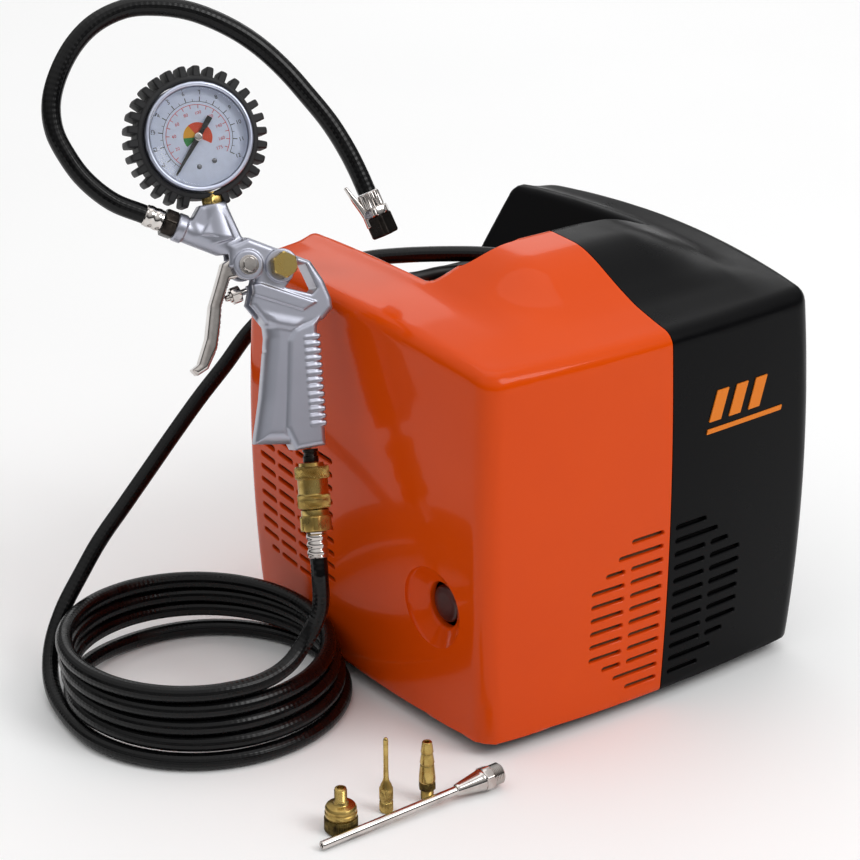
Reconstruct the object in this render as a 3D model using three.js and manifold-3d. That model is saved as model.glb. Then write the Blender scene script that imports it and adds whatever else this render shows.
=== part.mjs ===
// Portable oil-less air compressor in a two-tone cube casing, with its air hose, inflator gun and
// adapters. Millimetres, +Z up. The origin is on the floor, under the middle of the casing.
// -Y is the front, -X the orange end and +X the black end.
import * as THREE from 'three';
import { mergeVertices } from 'three/addons/utils/BufferGeometryUtils.js';
import Module from 'manifold-3d';

const wasm = await Module();
wasm.setup();

// ---------------------------------------------------------------- driving dimensions

const CASE_LENGTH = 260;      // between the casing's corners, along X
const CASE_DEPTH = 268;       // between the casing's corners, along Y
const CASE_TOP = 263;         // height of the casing's top corners
const FOOT_HEIGHT = 9;
const WALL = 3;               // moulded wall of the two shells
const SEAM_X = 8;             // where the orange and black shells meet
const GAP = 0.3;              // clearance between pieces that touch
const RUNNING_FIT = 0.12;     // clearance of a shaft or pin in its bearing
const CORNER_RADIUS = 12;
const END_CROWN = 8;          // how far the end faces bulge in plan
const FRONT_CROWN = 6;        // how far the front and back faces bulge in plan
const BARREL = 4.4;           // how far the corners swell at mid height
const TOP_CROWN = 8.9;        // rise of the top's long edges at mid depth
const STRIP_RISE = 4.5;       // rise of the top from its long edges to the trough
const RIDGE_RISE = 18.5;      // rise of the carrying ridge over the top
const TROUGH_TOP_HALF = 84;   // half width of the storage trough at its rim
const TROUGH_FLOOR_HALF = 54;
const TROUGH_FLOOR_Z = 218;
const TROUGH_FRONT_Y = 10;    // foot of the trough's front wall

const SLOT_PITCH = 9.65;      // vents: rows of short level slots
const SLOT_HEIGHT = 3.3;
const FRONT_SLOT = 26;
const FRONT_SLOT_GAP = 5;
const END_SLOT = 21;
const END_SLOT_PITCH = 25;
const SLOT_ROWS = 12;
const FRONT_TOP_ROW_Z = 128;
const END_TOP_ROW_Z = 165;

const BUTTON_RADIUS = 12.5;   // thermal reset button in its dish
const DISH_RADIUS = 27.5;
const DISH_DEPTH = 9;
const DISH_Y = -88;
const DISH_Z = 93;

const SHAFT_RADIUS = 6;       // motor and pump
const SHAFT_Y = 25;
const SHAFT_Z = 84;
const MOTOR_RADIUS = 48;
const MOTOR_LENGTH = 56;
const MOTOR_X = -38;
const FAN_RADIUS = 52;
const PUMP_X = 58;
const CRANK_THROW = 6;
const CRANK_PIN_RADIUS = 5;
const BORE_RADIUS = 29;
const CYLINDER_BASE_Z = 122;
const CYLINDER_HEIGHT = 52;
const HEAD_HEIGHT = 18;

const HOSE_RADIUS = 5.5;      // air hose
const WHIP_RADIUS = 6;        // short hose on the gun
const LEAD_RADIUS = 4;        // mains lead
const COIL_X = -CASE_LENGTH / 2 - 102.5;  // air hose coil on the floor
const COIL_Y = 43;
const COIL_OUTER = 93;
const COIL_INNER = 80;
const COIL_TAPER = 1.5;       // how much narrower the coil is at its top
const COIL_HEIGHT = 54.5;
const LEAD_COIL_X = 30;       // mains lead coil on the floor behind the casing
const LEAD_COIL_Y = CASE_DEPTH / 2 + 84;
const LEAD_COIL_OUTER = 57;
const LEAD_COIL_INNER = 30.5;
const LEAD_COIL_HEIGHT = 26;
const PLUG_RADIUS = 17;

const GUN_X = -CASE_LENGTH / 2 - 18.5;    // where the back of the gun's grip leans on the casing
const GUN_Y = 9.1;
const GUN_Z = 240.5;
const GUN_TURN = -17.09;      // degrees about Z, then
const GUN_TILT = 22.67;       // degrees back from upright
const GUN_THICKNESS = 25;
const COUPLER_RADIUS = 11;
const GAUGE_RADIUS = 34.5;
const BOOT_RADIUS = 45;
const TRIGGER_WIDTH = 13;
const VALVE_STEM_RADIUS = 2;

const ROUND = 20;             // sides of ordinary round pieces
const FINE = 28;              // sides of large round pieces

// ---------------------------------------------------------------- materials and helpers

const material = (color, roughness, metalness = 0) =>
  new THREE.MeshStandardMaterial({ color, roughness, metalness });
const ORANGE = material(0xd24a12, 0.3);
const BLACK = material(0x17171a, 0.45);
const RUBBER = material(0x1b1b1d, 0.8);
const HOSE_BLACK = material(0x121214, 0.35);
const SILVER = material(0x989aa5, 0.45, 0.6);
const BRASS = material(0xb08d3c, 0.3, 1);
const CHROME = material(0xc9c5c2, 0.15, 1);
const STEEL = material(0x8b8d90, 0.4, 1);
const ALLOY = material(0xa6a8ab, 0.5, 0.9);
const COPPER = material(0xb4673a, 0.35, 1);
const DIAL = material(0xc9d4ea, 0.5);
const GLASS = material(0xe8eef5, 0.05);

const model = new THREE.Group();
const rad = THREE.MathUtils.degToRad;

/** A closed geometry as a manifold solid. */
function solid(geometry) {
  geometry.deleteAttribute('normal');
  geometry.deleteAttribute('uv');
  const merged = mergeVertices(geometry, 1e-4);
  return new wasm.Manifold(new wasm.Mesh({
    numProp: 3,
    vertProperties: new Float32Array(merged.attributes.position.array),
    triVerts: new Uint32Array(merged.index.array),
  }));
}

/** A manifold solid as a geometry. */
function geometryOf(manifold) {
  const mesh = manifold.getMesh();
  const geometry = new THREE.BufferGeometry();
  geometry.setAttribute('position', new THREE.BufferAttribute(new Float32Array(mesh.vertProperties), 3));
  geometry.setIndex(new THREE.BufferAttribute(new Uint32Array(mesh.triVerts), 1));
  geometry.computeVertexNormals();
  return geometry;
}

/** Adds one named piece to a group. */
function piece(name, shape, mat, parent = model) {
  const mesh = new THREE.Mesh(shape.isBufferGeometry ? shape : geometryOf(shape), mat);
  mesh.name = name;
  parent.add(mesh);
  return mesh;
}

const box = (w, d, h, x, y, z) => new THREE.BoxGeometry(w, d, h).translate(x, y, z);

/** Turns a geometry made along +Y so that it points along a direction, and moves it. */
function aim(geometry, direction, at) {
  const turn = new THREE.Quaternion().setFromUnitVectors(
    new THREE.Vector3(0, 1, 0), new THREE.Vector3(...direction).normalize());
  return geometry.applyQuaternion(turn).translate(...at);
}

/** A cylinder or cone from a point along a direction. */
function rod(radius, length, direction, at, sides = ROUND, endRadius = radius) {
  const body = new THREE.CylinderGeometry(endRadius, radius, length, sides);
  return aim(body.translate(0, length / 2, 0), direction, at);
}

/** A turned piece: [radius, distance] pairs from one end of the axis to the other. */
function turned(profile, direction, at, sides = ROUND) {
  const points = profile.map(([r, d]) => new THREE.Vector2(r, d));
  return aim(new THREE.LatheGeometry(points, sides), direction, at);
}

/** A tube along points, with flat ends. */
function tube(points, radius, sides, steps) {
  const path = new THREE.CatmullRomCurve3(points.map((p) => new THREE.Vector3(...p)), false, 'centripetal');
  const ring = new THREE.Shape();
  for (let i = 0; i < sides; i += 1) {
    const a = (i / sides) * 2 * Math.PI;
    ring[i ? 'lineTo' : 'moveTo'](radius * Math.cos(a), radius * Math.sin(a));
  }
  return new THREE.ExtrudeGeometry(ring, { steps, extrudePath: path, curveSegments: 1 });
}

/** A plate of a given outline, centred on the XY plane. */
function plate(points, thickness) {
  const shape = new THREE.Shape(points.map(([x, y]) => new THREE.Vector2(x, y)));
  const options = { depth: thickness, bevelEnabled: false };
  return new THREE.ExtrudeGeometry(shape, options).translate(0, 0, -thickness / 2);
}

const union = (first, ...rest) => rest.reduce((sum, g) => sum.add(solid(g)), solid(first));
const cut = (body, ...tools) => tools.reduce((left, g) => left.subtract(solid(g)), body);

// ---------------------------------------------------------------- casing surface

const MID_Z = (CASE_TOP + FOOT_HEIGHT) / 2;
const HALF_HEIGHT = (CASE_TOP - FOOT_HEIGHT) / 2;

/** Smooth step from 0 to 1. */
function smooth(t) {
  const c = Math.min(1, Math.max(0, t));
  return c * c * (3 - 2 * c);
}

/** A point of the plan, turned about the origin. */
function turnedBy(angle, x, y) {
  return [x * Math.cos(angle) - y * Math.sin(angle), x * Math.sin(angle) + y * Math.cos(angle)];
}

/** The casing's plan outline at a height, pulled in by an offset. */
function outline(z, offset) {
  const t = (z - MID_Z) / HALF_HEIGHT;
  const swell = BARREL * Math.max(-0.5, 1 - t * t);
  const hx = CASE_LENGTH / 2 + swell;
  const hy = CASE_DEPTH / 2 + swell;
  const points = [];
  const sideSteps = 6;
  const cornerSteps = 2;
  for (let side = 0; side < 4; side += 1) {
    const along = side % 2 ? hx : hy;
    const out = side % 2 ? hy : hx;
    const crown = side % 2 ? FRONT_CROWN : END_CROWN;
    const run = along - CORNER_RADIUS;
    const turn = side * Math.PI / 2;
    for (let i = 0; i <= sideSteps; i += 1) {
      const s = -run + (2 * run * i) / sideSteps;
      const n = out + crown * (1 - (s / along) ** 2) - offset;
      const k = 1 - offset / along;
      points.push(turnedBy(turn, n, s * k));
    }
    const nextOut = side % 2 ? hx : hy;
    const r = CORNER_RADIUS;
    for (let i = 1; i <= cornerSteps; i += 1) {
      const a = (i / (cornerSteps + 1)) * Math.PI / 2;
      const edge = crown * (1 - (run / along) ** 2);
      const n = out - r + (r + edge) * Math.cos(a) - offset;
      const s = nextOut - r + (r + edge) * Math.sin(a) - offset;
      points.push(turnedBy(turn, n, s));
    }
  }
  return points;
}

/** Joins outlines at several heights into a closed solid. */
function loft(levels, offset) {
  const rings = levels.map((z) => outline(z, offset).map(([x, y]) => [x, y, z]));
  const count = rings[0].length;
  const positions = rings.flat(2);
  positions.push(0, 0, levels[0], 0, 0, levels.at(-1));
  const bottom = rings.length * count;
  const index = [];
  for (let i = 0; i < count; i += 1) {
    const j = (i + 1) % count;
    for (let k = 0; k + 1 < rings.length; k += 1) {
      const [a, b] = [k * count + i, k * count + j];
      index.push(a, b, b + count, a, b + count, a + count);
    }
    const last = (rings.length - 1) * count;
    index.push(bottom, j, i, bottom + 1, last + i, last + j);
  }
  const geometry = new THREE.BufferGeometry();
  geometry.setAttribute('position', new THREE.Float32BufferAttribute(positions, 3));
  geometry.setIndex(index);
  return geometry;
}

/** Height of the casing's top: crowned strips, a carrying ridge, and the storage trough behind it. */
function topHeight(x, y) {
  const u = Math.abs(x - SEAM_X);
  const depth = Math.min(1, Math.abs(y) / (CASE_DEPTH / 2));
  const outer = CASE_LENGTH / 2 - Math.sign(x - SEAM_X) * SEAM_X;
  const strip = Math.min(1, Math.max(0, (u - TROUGH_TOP_HALF) / (outer - TROUGH_TOP_HALF)));
  const edge = CASE_TOP - 1 + TOP_CROWN * (1 - depth * depth);
  const rise = STRIP_RISE * (1 - strip) * smooth((y + CASE_DEPTH / 2) / 45);
  const ridge = RIDGE_RISE * smooth((y + 108) / 68) * (1 - smooth((u - 38) / 66));
  const sides = (u - TROUGH_FLOOR_HALF) * 1.62;
  const front = (TROUGH_FRONT_Y - y) * 3.4;
  const trough = TROUGH_FLOOR_Z + Math.max(0, sides, front);
  return Math.min(edge + rise + ridge, trough);
}

const BELOW = -40;             // a level under the casing

/** A solid that fills everything under the casing's top, less a wall measured square to it. */
function underTop(wall) {
  const fromSeam = [0, 24, 46, 54, 66, 76, 84, 96, 116, 138, CASE_LENGTH / 2 + 30];
  const left = fromSeam.slice(1).reverse().map((u) => SEAM_X - u);
  const columns = [...left, ...fromSeam.map((u) => SEAM_X + u)];
  const end = CASE_DEPTH / 2;
  const ys = [-end - 26, -end, -end + 14, -104, -88, -74, -60, -46, -32, -20, -13, -6, 0, 5, 10, 40, 90,
    end, end + 26];
  const d = 0.5;
  const height = (x, y) => {
    const z = topHeight(x, y);
    if (!wall) return z;
    const sx = (topHeight(x + d, y) - topHeight(x - d, y)) / (2 * d);
    const sy = (topHeight(x, y + d) - topHeight(x, y - d)) / (2 * d);
    return z - wall * Math.min(3.2, Math.hypot(1, sx, sy));
  };
  const positions = [];
  for (const y of ys) {
    for (const x of columns) positions.push(x, y, height(x, y));
  }
  for (const y of ys) {
    for (const x of columns) positions.push(x, y, BELOW);
  }
  const nx = columns.length;
  const ny = ys.length;
  const index = [];
  const quad = (a, b, c, e) => index.push(a, b, c, a, c, e);
  for (let j = 0; j + 1 < ny; j += 1) {
    for (let i = 0; i + 1 < nx; i += 1) {
      const a = j * nx + i;
      const b = a + nx * ny;
      quad(a, a + 1, a + nx + 1, a + nx);
      quad(b, b + nx, b + nx + 1, b + 1);
    }
  }
  for (let i = 0; i + 1 < nx; i += 1) {
    const back = (ny - 1) * nx + i;
    quad(i + nx * ny, i + 1 + nx * ny, i + 1, i);
    quad(back, back + 1, back + 1 + nx * ny, back + nx * ny);
  }
  for (let j = 0; j + 1 < ny; j += 1) {
    const left = j * nx;
    const end = left + nx - 1;
    quad(left, left + nx, left + nx + nx * ny, left + nx * ny);
    quad(end + nx * ny, end + nx + nx * ny, end + nx, end);
  }
  const geometry = new THREE.BufferGeometry();
  geometry.setAttribute('position', new THREE.Float32BufferAttribute(positions, 3));
  geometry.setIndex(index);
  return geometry;
}

// ---------------------------------------------------------------- vents and openings

/** Vent slots of the front face on one side of the seam (side is -1 for orange, 1 for black). */
function frontSlots(side) {
  const slots = [];
  const add = (row, near, length) => {
    const x = SEAM_X + side * (near + length / 2);
    slots.push(box(length, 40, SLOT_HEIGHT, x, -CASE_DEPTH / 2, FRONT_TOP_ROW_Z - SLOT_PITCH * row));
  };
  for (let row = 0; row < SLOT_ROWS; row += 1) {
    const long = row === 1 || row === SLOT_ROWS - 2;
    add(row, FRONT_SLOT_GAP, long ? FRONT_SLOT * 1.4 : FRONT_SLOT);
    if (row >= 2 && row <= SLOT_ROWS - 3) {
      const short = row === 2 || row === SLOT_ROWS - 3;
      add(row, FRONT_SLOT + 2 * FRONT_SLOT_GAP, short ? FRONT_SLOT * 0.58 : FRONT_SLOT);
    }
  }
  return slots;
}

/** Vent slots in the rear half of an end face. */
function endSlots(side) {
  const slots = [];
  const firstY = CASE_DEPTH / 2 - 29;
  for (let row = 0; row < SLOT_ROWS; row += 1) {
    const outer = row === 0 || row === SLOT_ROWS - 1;
    for (let column = 0; column < 4; column += 1) {
      const y = firstY - column * END_SLOT_PITCH;
      const rim = column === 0 || column === 3;
      const length = outer && rim ? END_SLOT / 2 : END_SLOT;
      const shift = outer && rim ? (column ? END_SLOT / 4 : -END_SLOT / 4) : 0;
      const z = END_TOP_ROW_Z - SLOT_PITCH * row;
      slots.push(box(40, length, SLOT_HEIGHT, side * CASE_LENGTH / 2, y + shift, z));
    }
  }
  return slots;
}

/** A leaf-shaped finger opening in the ridge, beside the seam. */
function fingerOpening(side) {
  const points = [];
  for (let i = 0; i < 12; i += 1) {
    const a = (i / 12) * 2 * Math.PI;
    points.push([SEAM_X + side * (48 + 24 * Math.cos(a)), -13 + 6 * Math.sin(a)]);
  }
  if (side < 0) points.reverse();
  return plate(points, 60).translate(0, 0, CASE_TOP + 20);
}

const levels = [FOOT_HEIGHT, 50, 100, 150, 200, 240, 300];
const innerLevels = [FOOT_HEIGHT - 5, 50, 100, 150, 200, 240, 300];
const BOSS_X = -CASE_LENGTH / 2 - END_CROWN / 2 - BARREL;
const dishAxis = [1, 0, 0];
const dishFace = BOSS_X - 1.2;
const boss = rod(DISH_RADIUS + WALL, DISH_DEPTH + WALL + 2, dishAxis,
  [dishFace + 1.5, DISH_Y, DISH_Z], FINE);
const dish = rod(DISH_RADIUS + 1, DISH_DEPTH + 1, dishAxis, [dishFace - 0.5, DISH_Y, DISH_Z], FINE, 15);
const buttonHole = rod(15, 40, dishAxis, [dishFace, DISH_Y, DISH_Z], FINE);

const outer = solid(loft(levels, 0)).intersect(solid(underTop(0)));
const inner = solid(loft(innerLevels, WALL)).intersect(solid(underTop(WALL)));
const skin = outer.subtract(inner).add(solid(boss).intersect(outer));
const shell = cut(skin, dish, buttonHole, ...frontSlots(-1), ...frontSlots(1),
  ...endSlots(-1), ...endSlots(1), fingerOpening(-1), fingerOpening(1));

// ---------------------------------------------------------------- casing pieces

const HALF_BOX = 400;

/** Everything on one side of the seam (side is -1 for orange, 1 for black). */
function halfSpace(side) {
  return solid(box(HALF_BOX, HALF_BOX, HALF_BOX * 2, SEAM_X + side * (GAP / 2 + HALF_BOX / 2), 0, 0));
}
piece('shell_orange', shell.intersect(halfSpace(-1)), ORANGE);
const OUTLET_X = 58;
const GLAND_X = 36;
const OUTLET_HEIGHT = 17.25;  // of the air outlet over the trough's floor
const trayFittings = TROUGH_FLOOR_Z + OUTLET_HEIGHT;
const glandZ = TROUGH_FLOOR_Z + 9;
const wallY = TROUGH_FRONT_Y - (trayFittings - TROUGH_FLOOR_Z) / 3.4;
/** A hole through the trough's front wall, with a flat seat for the fitting's flange. */
const seat = (radius, flange, x, z, at) => union(rod(radius + GAP, 60, [0, 1, 0], [x, -40, z]),
  rod(flange + GAP, 60, [0, 1, 0], [x, at, z]));
const outletHole = seat(8, 12.5, OUTLET_X, trayFittings, wallY + 1.8);
const glandHole = seat(6, 8.5, GLAND_X, glandZ, wallY + 2.9);
const SWITCH_X = 70;
const SWITCH_Z = 150;
const switchHole = box(22, 40, 30, SWITCH_X, CASE_DEPTH / 2, SWITCH_Z);
const blackShell = cut(shell.intersect(halfSpace(1)), switchHole);
piece('shell_black', blackShell.subtract(outletHole).subtract(glandHole), BLACK);

/** The flat floor of the casing, inside both shells. */
const plateOutline = outline(FOOT_HEIGHT, WALL + 1.2);
const BASE_THICKNESS = 4;
piece('base_plate', plate(plateOutline, BASE_THICKNESS)
  .translate(0, 0, FOOT_HEIGHT + 0.5 + BASE_THICKNESS / 2), BLACK);

for (const [name, x, y] of [['foot_front_left', -1, -1], ['foot_front_right', 1, -1],
  ['foot_rear_left', -1, 1], ['foot_rear_right', 1, 1]]) {
  const at = [x * (CASE_LENGTH / 2 - 21), y * (CASE_DEPTH / 2 - 24), 0];
  piece(name, turned([[0, 0], [9, 0], [11, 2], [12, FOOT_HEIGHT + 0.2], [0, FOOT_HEIGHT + 0.2]],
    [0, 0, 1], at), RUBBER);
}

const BADGE_X = 70;
const BADGE_Z = 202;
const badgeFace = -CASE_DEPTH / 2 - FRONT_CROWN * (1 - (BADGE_X / (CASE_LENGTH / 2)) ** 2) - BARREL;
piece('badge', plate([[-41, -21], [41, -21], [41, 21], [-41, 21]], 0.8)
  .rotateX(Math.PI / 2).rotateZ(0.05).translate(BADGE_X, badgeFace - 1.1, BADGE_Z), ORANGE);

piece('reset_button', turned([[0, 0], [BUTTON_RADIUS - 1, 0], [BUTTON_RADIUS, 1], [BUTTON_RADIUS, 9],
  [0, 9]],
  dishAxis, [dishFace + DISH_DEPTH + 1, DISH_Y, DISH_Z]), RUBBER);

const switchFace = CASE_DEPTH / 2 + FRONT_CROWN * (1 - (SWITCH_X / (CASE_LENGTH / 2)) ** 2) + BARREL;
piece('switch_frame', cut(solid(box(27, 2, 35, SWITCH_X, switchFace + 1.6, SWITCH_Z)),
  box(18.6, 10, 26.6, SWITCH_X, switchFace + 1.6, SWITCH_Z)), BLACK);
piece('switch_rocker', plate([[-6, -12], [1.5, -12], [0.2, 0], [3.4, 12], [-6, 12]], 18)
  .rotateX(Math.PI / 2).rotateZ(Math.PI / 2).translate(SWITCH_X, switchFace + 1, SWITCH_Z), RUBBER);

// ---------------------------------------------------------------- motor and pump

const alongX = [1, 0, 0];
const axisPoint = (x) => [x, SHAFT_Y, SHAFT_Z];
const statorEnd = MOTOR_X + MOTOR_LENGTH / 2;
const ROTOR_RADIUS = 26;
const statorStart = MOTOR_X - MOTOR_LENGTH / 2;
piece('motor_stator', cut(solid(rod(MOTOR_RADIUS, MOTOR_LENGTH, alongX, axisPoint(statorStart), FINE)),
  rod(ROTOR_RADIUS + 1, MOTOR_LENGTH + 4, alongX, axisPoint(statorStart - 2))), STEEL);
const shaftStart = statorStart - 42;
const crankFace = PUMP_X - 16;
const coreStart = 44;
const coreEnd = coreStart + MOTOR_LENGTH - 4;
const commutatorEnd = coreEnd + 14;
const shaftLength = crankFace - shaftStart - GAP;
piece('armature', turned([[0, 0], [SHAFT_RADIUS, 0], [SHAFT_RADIUS, coreStart], [ROTOR_RADIUS, coreStart],
  [ROTOR_RADIUS, coreEnd], [14, coreEnd], [14, commutatorEnd], [SHAFT_RADIUS, commutatorEnd],
  [SHAFT_RADIUS, shaftLength], [0, shaftLength]], alongX, axisPoint(shaftStart)), COPPER);

// Cooling fan: a hub with flat blades.
const fanX = shaftStart + 4;
const blades = Array.from({ length: 7 }, (_, i) => box(12, 4, FAN_RADIUS - 12, 6, 0, FAN_RADIUS / 2 + 4)
  .rotateX((i / 7) * 2 * Math.PI).translate(fanX, SHAFT_Y, SHAFT_Z));
piece('motor_fan', cut(union(rod(15, 14, alongX, axisPoint(fanX)), ...blades),
  rod(SHAFT_RADIUS + 0.05, 40, alongX, axisPoint(fanX - 10))), BLACK);

const FLOOR_Z = FOOT_HEIGHT + 0.5 + BASE_THICKNESS + GAP;
const BEARING_RADIUS = 13;

/** A motor bracket, standing on the base plate and holding a bearing. */
function bracket(name, x, thickness) {
  const height = SHAFT_Z - FLOOR_Z;
  const outlinePoints = [[-34, -height], [34, -height], [20, 16], [-20, 16]];
  const body = plate(outlinePoints, thickness).rotateX(Math.PI / 2).rotateZ(Math.PI / 2);
  piece(name, cut(solid(body.translate(x, SHAFT_Y, SHAFT_Z)),
    rod(BEARING_RADIUS + GAP, 60, alongX, axisPoint(x - 30))), ALLOY);
}

/** A bearing on the shaft. */
function bearing(name, x, thickness) {
  piece(name, cut(solid(rod(BEARING_RADIUS, thickness, alongX, axisPoint(x - thickness / 2))),
    rod(SHAFT_RADIUS + RUNNING_FIT, 30, alongX, axisPoint(x - 15))), STEEL);
}
const rearBracketX = statorStart - 12;
const pumpBracketX = statorEnd + 22;
bracket('bracket_fan_end', rearBracketX, 8);
bearing('bearing_fan_end', rearBracketX, 8);
bracket('bracket_pump_end', pumpBracketX, 8);
bearing('bearing_pump_end', pumpBracketX, 8);

// Crank disc, with the crank pin below the shaft at rest.
const discRadius = 22;
piece('crank_disc', cut(union(rod(discRadius, 12, alongX, axisPoint(crankFace)),
  rod(CRANK_PIN_RADIUS, 26, alongX, [crankFace + 4, SHAFT_Y, SHAFT_Z - CRANK_THROW]))), STEEL);

// Connecting rod and wobble piston in one piece.
const rodX = crankFace + 12 + GAP;
const pinZ = SHAFT_Z - CRANK_THROW;
const crownZ = CYLINDER_BASE_Z + 26;
const pistonRadius = BORE_RADIUS - CRANK_THROW - 0.6;
piece('piston_rod', cut(union(rod(11, 10, alongX, [rodX + 1, SHAFT_Y, pinZ]),
  box(8, 10, crownZ - pinZ - 12, rodX + 6, SHAFT_Y, (crownZ + pinZ) / 2 + 2),
  rod(pistonRadius, 8, [0, 0, 1], [rodX + 6, SHAFT_Y, crownZ - 8], FINE)),
rod(CRANK_PIN_RADIUS + RUNNING_FIT, 30, alongX, [rodX - 5, SHAFT_Y, pinZ])), ALLOY);

// Cylinder with cooling fins, open at both ends.
const finRadius = BORE_RADIUS + 15;
const finProfile = [[BORE_RADIUS, 0], [BORE_RADIUS + 5, 0]];
for (let i = 0; i < 5; i += 1) {
  const base = 8 + i * 9;
  finProfile.push([BORE_RADIUS + 5, base], [finRadius, base], [finRadius, base + 3],
  [BORE_RADIUS + 5, base + 3]);
}
finProfile.push([BORE_RADIUS + 5, CYLINDER_HEIGHT], [BORE_RADIUS, CYLINDER_HEIGHT], [BORE_RADIUS, 0]);
const pumpX = rodX + 6;
piece('cylinder', turned(finProfile, [0, 0, 1], [pumpX, SHAFT_Y, CYLINDER_BASE_Z], 18), ALLOY);
const headZ = CYLINDER_BASE_Z + CYLINDER_HEIGHT + GAP;
const headFins = [-24, -12, 0, 12, 24].map((y) =>
  box(66, 4, HEAD_HEIGHT, pumpX, SHAFT_Y + y, headZ + HEAD_HEIGHT / 2));
piece('cylinder_head', union(box(74, 74, HEAD_HEIGHT / 2, pumpX, SHAFT_Y, headZ + HEAD_HEIGHT / 4),
  ...headFins), ALLOY);

// Crankcase: a yoke that carries the cylinder from the base plate.
const yokeTop = CYLINDER_BASE_Z - GAP;
const yoke = box(88, 92, yokeTop - FLOOR_Z, pumpX, SHAFT_Y, (yokeTop + FLOOR_Z) / 2);
piece('crankcase', cut(solid(yoke), box(64, 120, 92, pumpX, SHAFT_Y, FLOOR_Z + 8 + 46),
  rod(BORE_RADIUS + 2, 60, [0, 0, 1], [pumpX, SHAFT_Y, 90], FINE),
  rod(discRadius + 3, 100, alongX, axisPoint(pumpX - 50), FINE)), ALLOY);

piece('intake_filter', turned([[0, 0], [13, 0], [13, 14], [11, 16], [0, 16]], [0, 0, 1],
  [pumpX, SHAFT_Y, headZ + HEAD_HEIGHT + GAP]), BLACK);

// Copper delivery tube from the head to the outlet.
piece('delivery_tube', tube([[pumpX + 38.2, SHAFT_Y + 10, headZ + 4.5],
  [pumpX + 46, SHAFT_Y + 10, headZ + 4.5],
  [pumpX + 52, SHAFT_Y, headZ + 5], [pumpX + 51, SHAFT_Y - 28, headZ + 8],
  [pumpX + 32, SHAFT_Y - 58, headZ + 18],
  [OUTLET_X, -38, trayFittings - 3], [OUTLET_X, -26, trayFittings]], 3, 8, 18), COPPER);

// ---------------------------------------------------------------- fittings in the trough

piece('outlet_fitting', turned([[0, -24], [8, -24], [8, 2], [12.5, 2.6], [12.5, 10], [8, 10.5], [8, 18],
  [0, 18]],
  [0, 1, 0], [OUTLET_X, wallY, trayFittings], 12), BRASS);
piece('hose_ferrule_outlet', turned([[0, 0], [7, 0], [7, 20], [0, 20]], [0, 1, 0],
  [OUTLET_X, wallY + 18 + GAP, trayFittings]), CHROME);
piece('mains_gland', turned([[0, -12], [6, -12], [6, 3.4], [8.5, 4], [8.5, 7], [6.2, 8], [4.9, 30],
  [0, 30]],
  [0, 1, 0], [GLAND_X, wallY, glandZ], 16), RUBBER);

// ---------------------------------------------------------------- air hose

const hoseStart = wallY + 18 + GAP + 20 + GAP;
const trayBackY = CASE_DEPTH / 2 + FRONT_CROWN + BARREL;
const hoseRoute = [
  [OUTLET_X, hoseStart, trayFittings], [OUTLET_X, 64, trayFittings], [53, 85, 235.8], [41, 103, 235.2],
  [20, 120, 235], [-4, 134, 235], [-28, 147, 233.4], [-54, 157, 228], [-84, 161, 214], [-114.5, 161, 195.3],
  [-136.7, 159, 176], [-159.3, 156, 158.7], [-181.8, 153, 139.5], [-204.2, 150, 119.6], [-227, 146, 100.4],
  [-249.6, 142, 81.4], [-266.7, 138, 63.9], [-285.6, 132, 44.3],
];
piece('hose_upper', tube(hoseRoute, HOSE_RADIUS, 8, 28), HOSE_BLACK);
const ring = (outer, inner, height, x, y, taper = 0) => turned([[inner, 0], [outer, 0],
  [outer - taper, height], [inner - taper, height], [inner, 0]], [0, 0, 1], [x, y, GAP], 32);
piece('hose_coil', ring(COIL_OUTER, COIL_INNER, COIL_HEIGHT, COIL_X, COIL_Y, COIL_TAPER), HOSE_BLACK);

// ---------------------------------------------------------------- mains lead

const leadStart = wallY + 30 + GAP;
const leadRoute = [
  [GLAND_X, leadStart, glandZ], [GLAND_X, leadStart + 14, 226], [43, 80, 223], [44, 98, 222.5],
  [36, 112, 222.4],
  [18, 119.5, 222.4], [-4, 121, 222.4], [-22, 128, 223], [-29, 139, 223.8], [-32, 150, 219.4],
  [-36, 160, 207],
  [-41, 166, 190], [-42, 168, 150], [-42, 169, 120], [-41, 170, 90], [-38, 171, 62], [-30, 173, 36],
  [-14, 174, 14],
];
piece('lead_drop', tube(leadRoute, LEAD_RADIUS, 8, 30), RUBBER);
piece('lead_coil', ring(LEAD_COIL_OUTER, LEAD_COIL_INNER, LEAD_COIL_HEIGHT, LEAD_COIL_X, LEAD_COIL_Y),
  RUBBER);
const plugAt = [LEAD_COIL_X + 62, LEAD_COIL_Y - 47, PLUG_RADIUS + GAP];
piece('lead_tail', tube([[plugAt[0] - 22, plugAt[1], 18], [plugAt[0] - 12, plugAt[1], 17.6],
  [plugAt[0] - GAP, plugAt[1], plugAt[2]]], LEAD_RADIUS, 8, 4), RUBBER);

// Two-pin moulded plug, lying on its side.
const pins = [-9.5, 9.5].map((y) => rod(2.4, 20, [1, 0, 0], [plugAt[0] + 40, plugAt[1] + y, plugAt[2]],
  10));
const plugProfile = [[0, 0], [5, 0], [7, 16], [15, 22], [PLUG_RADIUS, 30], [PLUG_RADIUS, 42], [0, 42]];
piece('mains_plug', union(turned(plugProfile, [1, 0, 0], plugAt), ...pins), RUBBER);

// ---------------------------------------------------------------- inflator gun

const gunTurn = new THREE.Group();
gunTurn.position.set(GUN_X, GUN_Y, GUN_Z);
gunTurn.rotation.z = rad(GUN_TURN);
const gun = new THREE.Group();
gun.rotation.x = rad(90 - GUN_TILT);
gunTurn.add(gun);
model.add(gunTurn);

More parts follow.
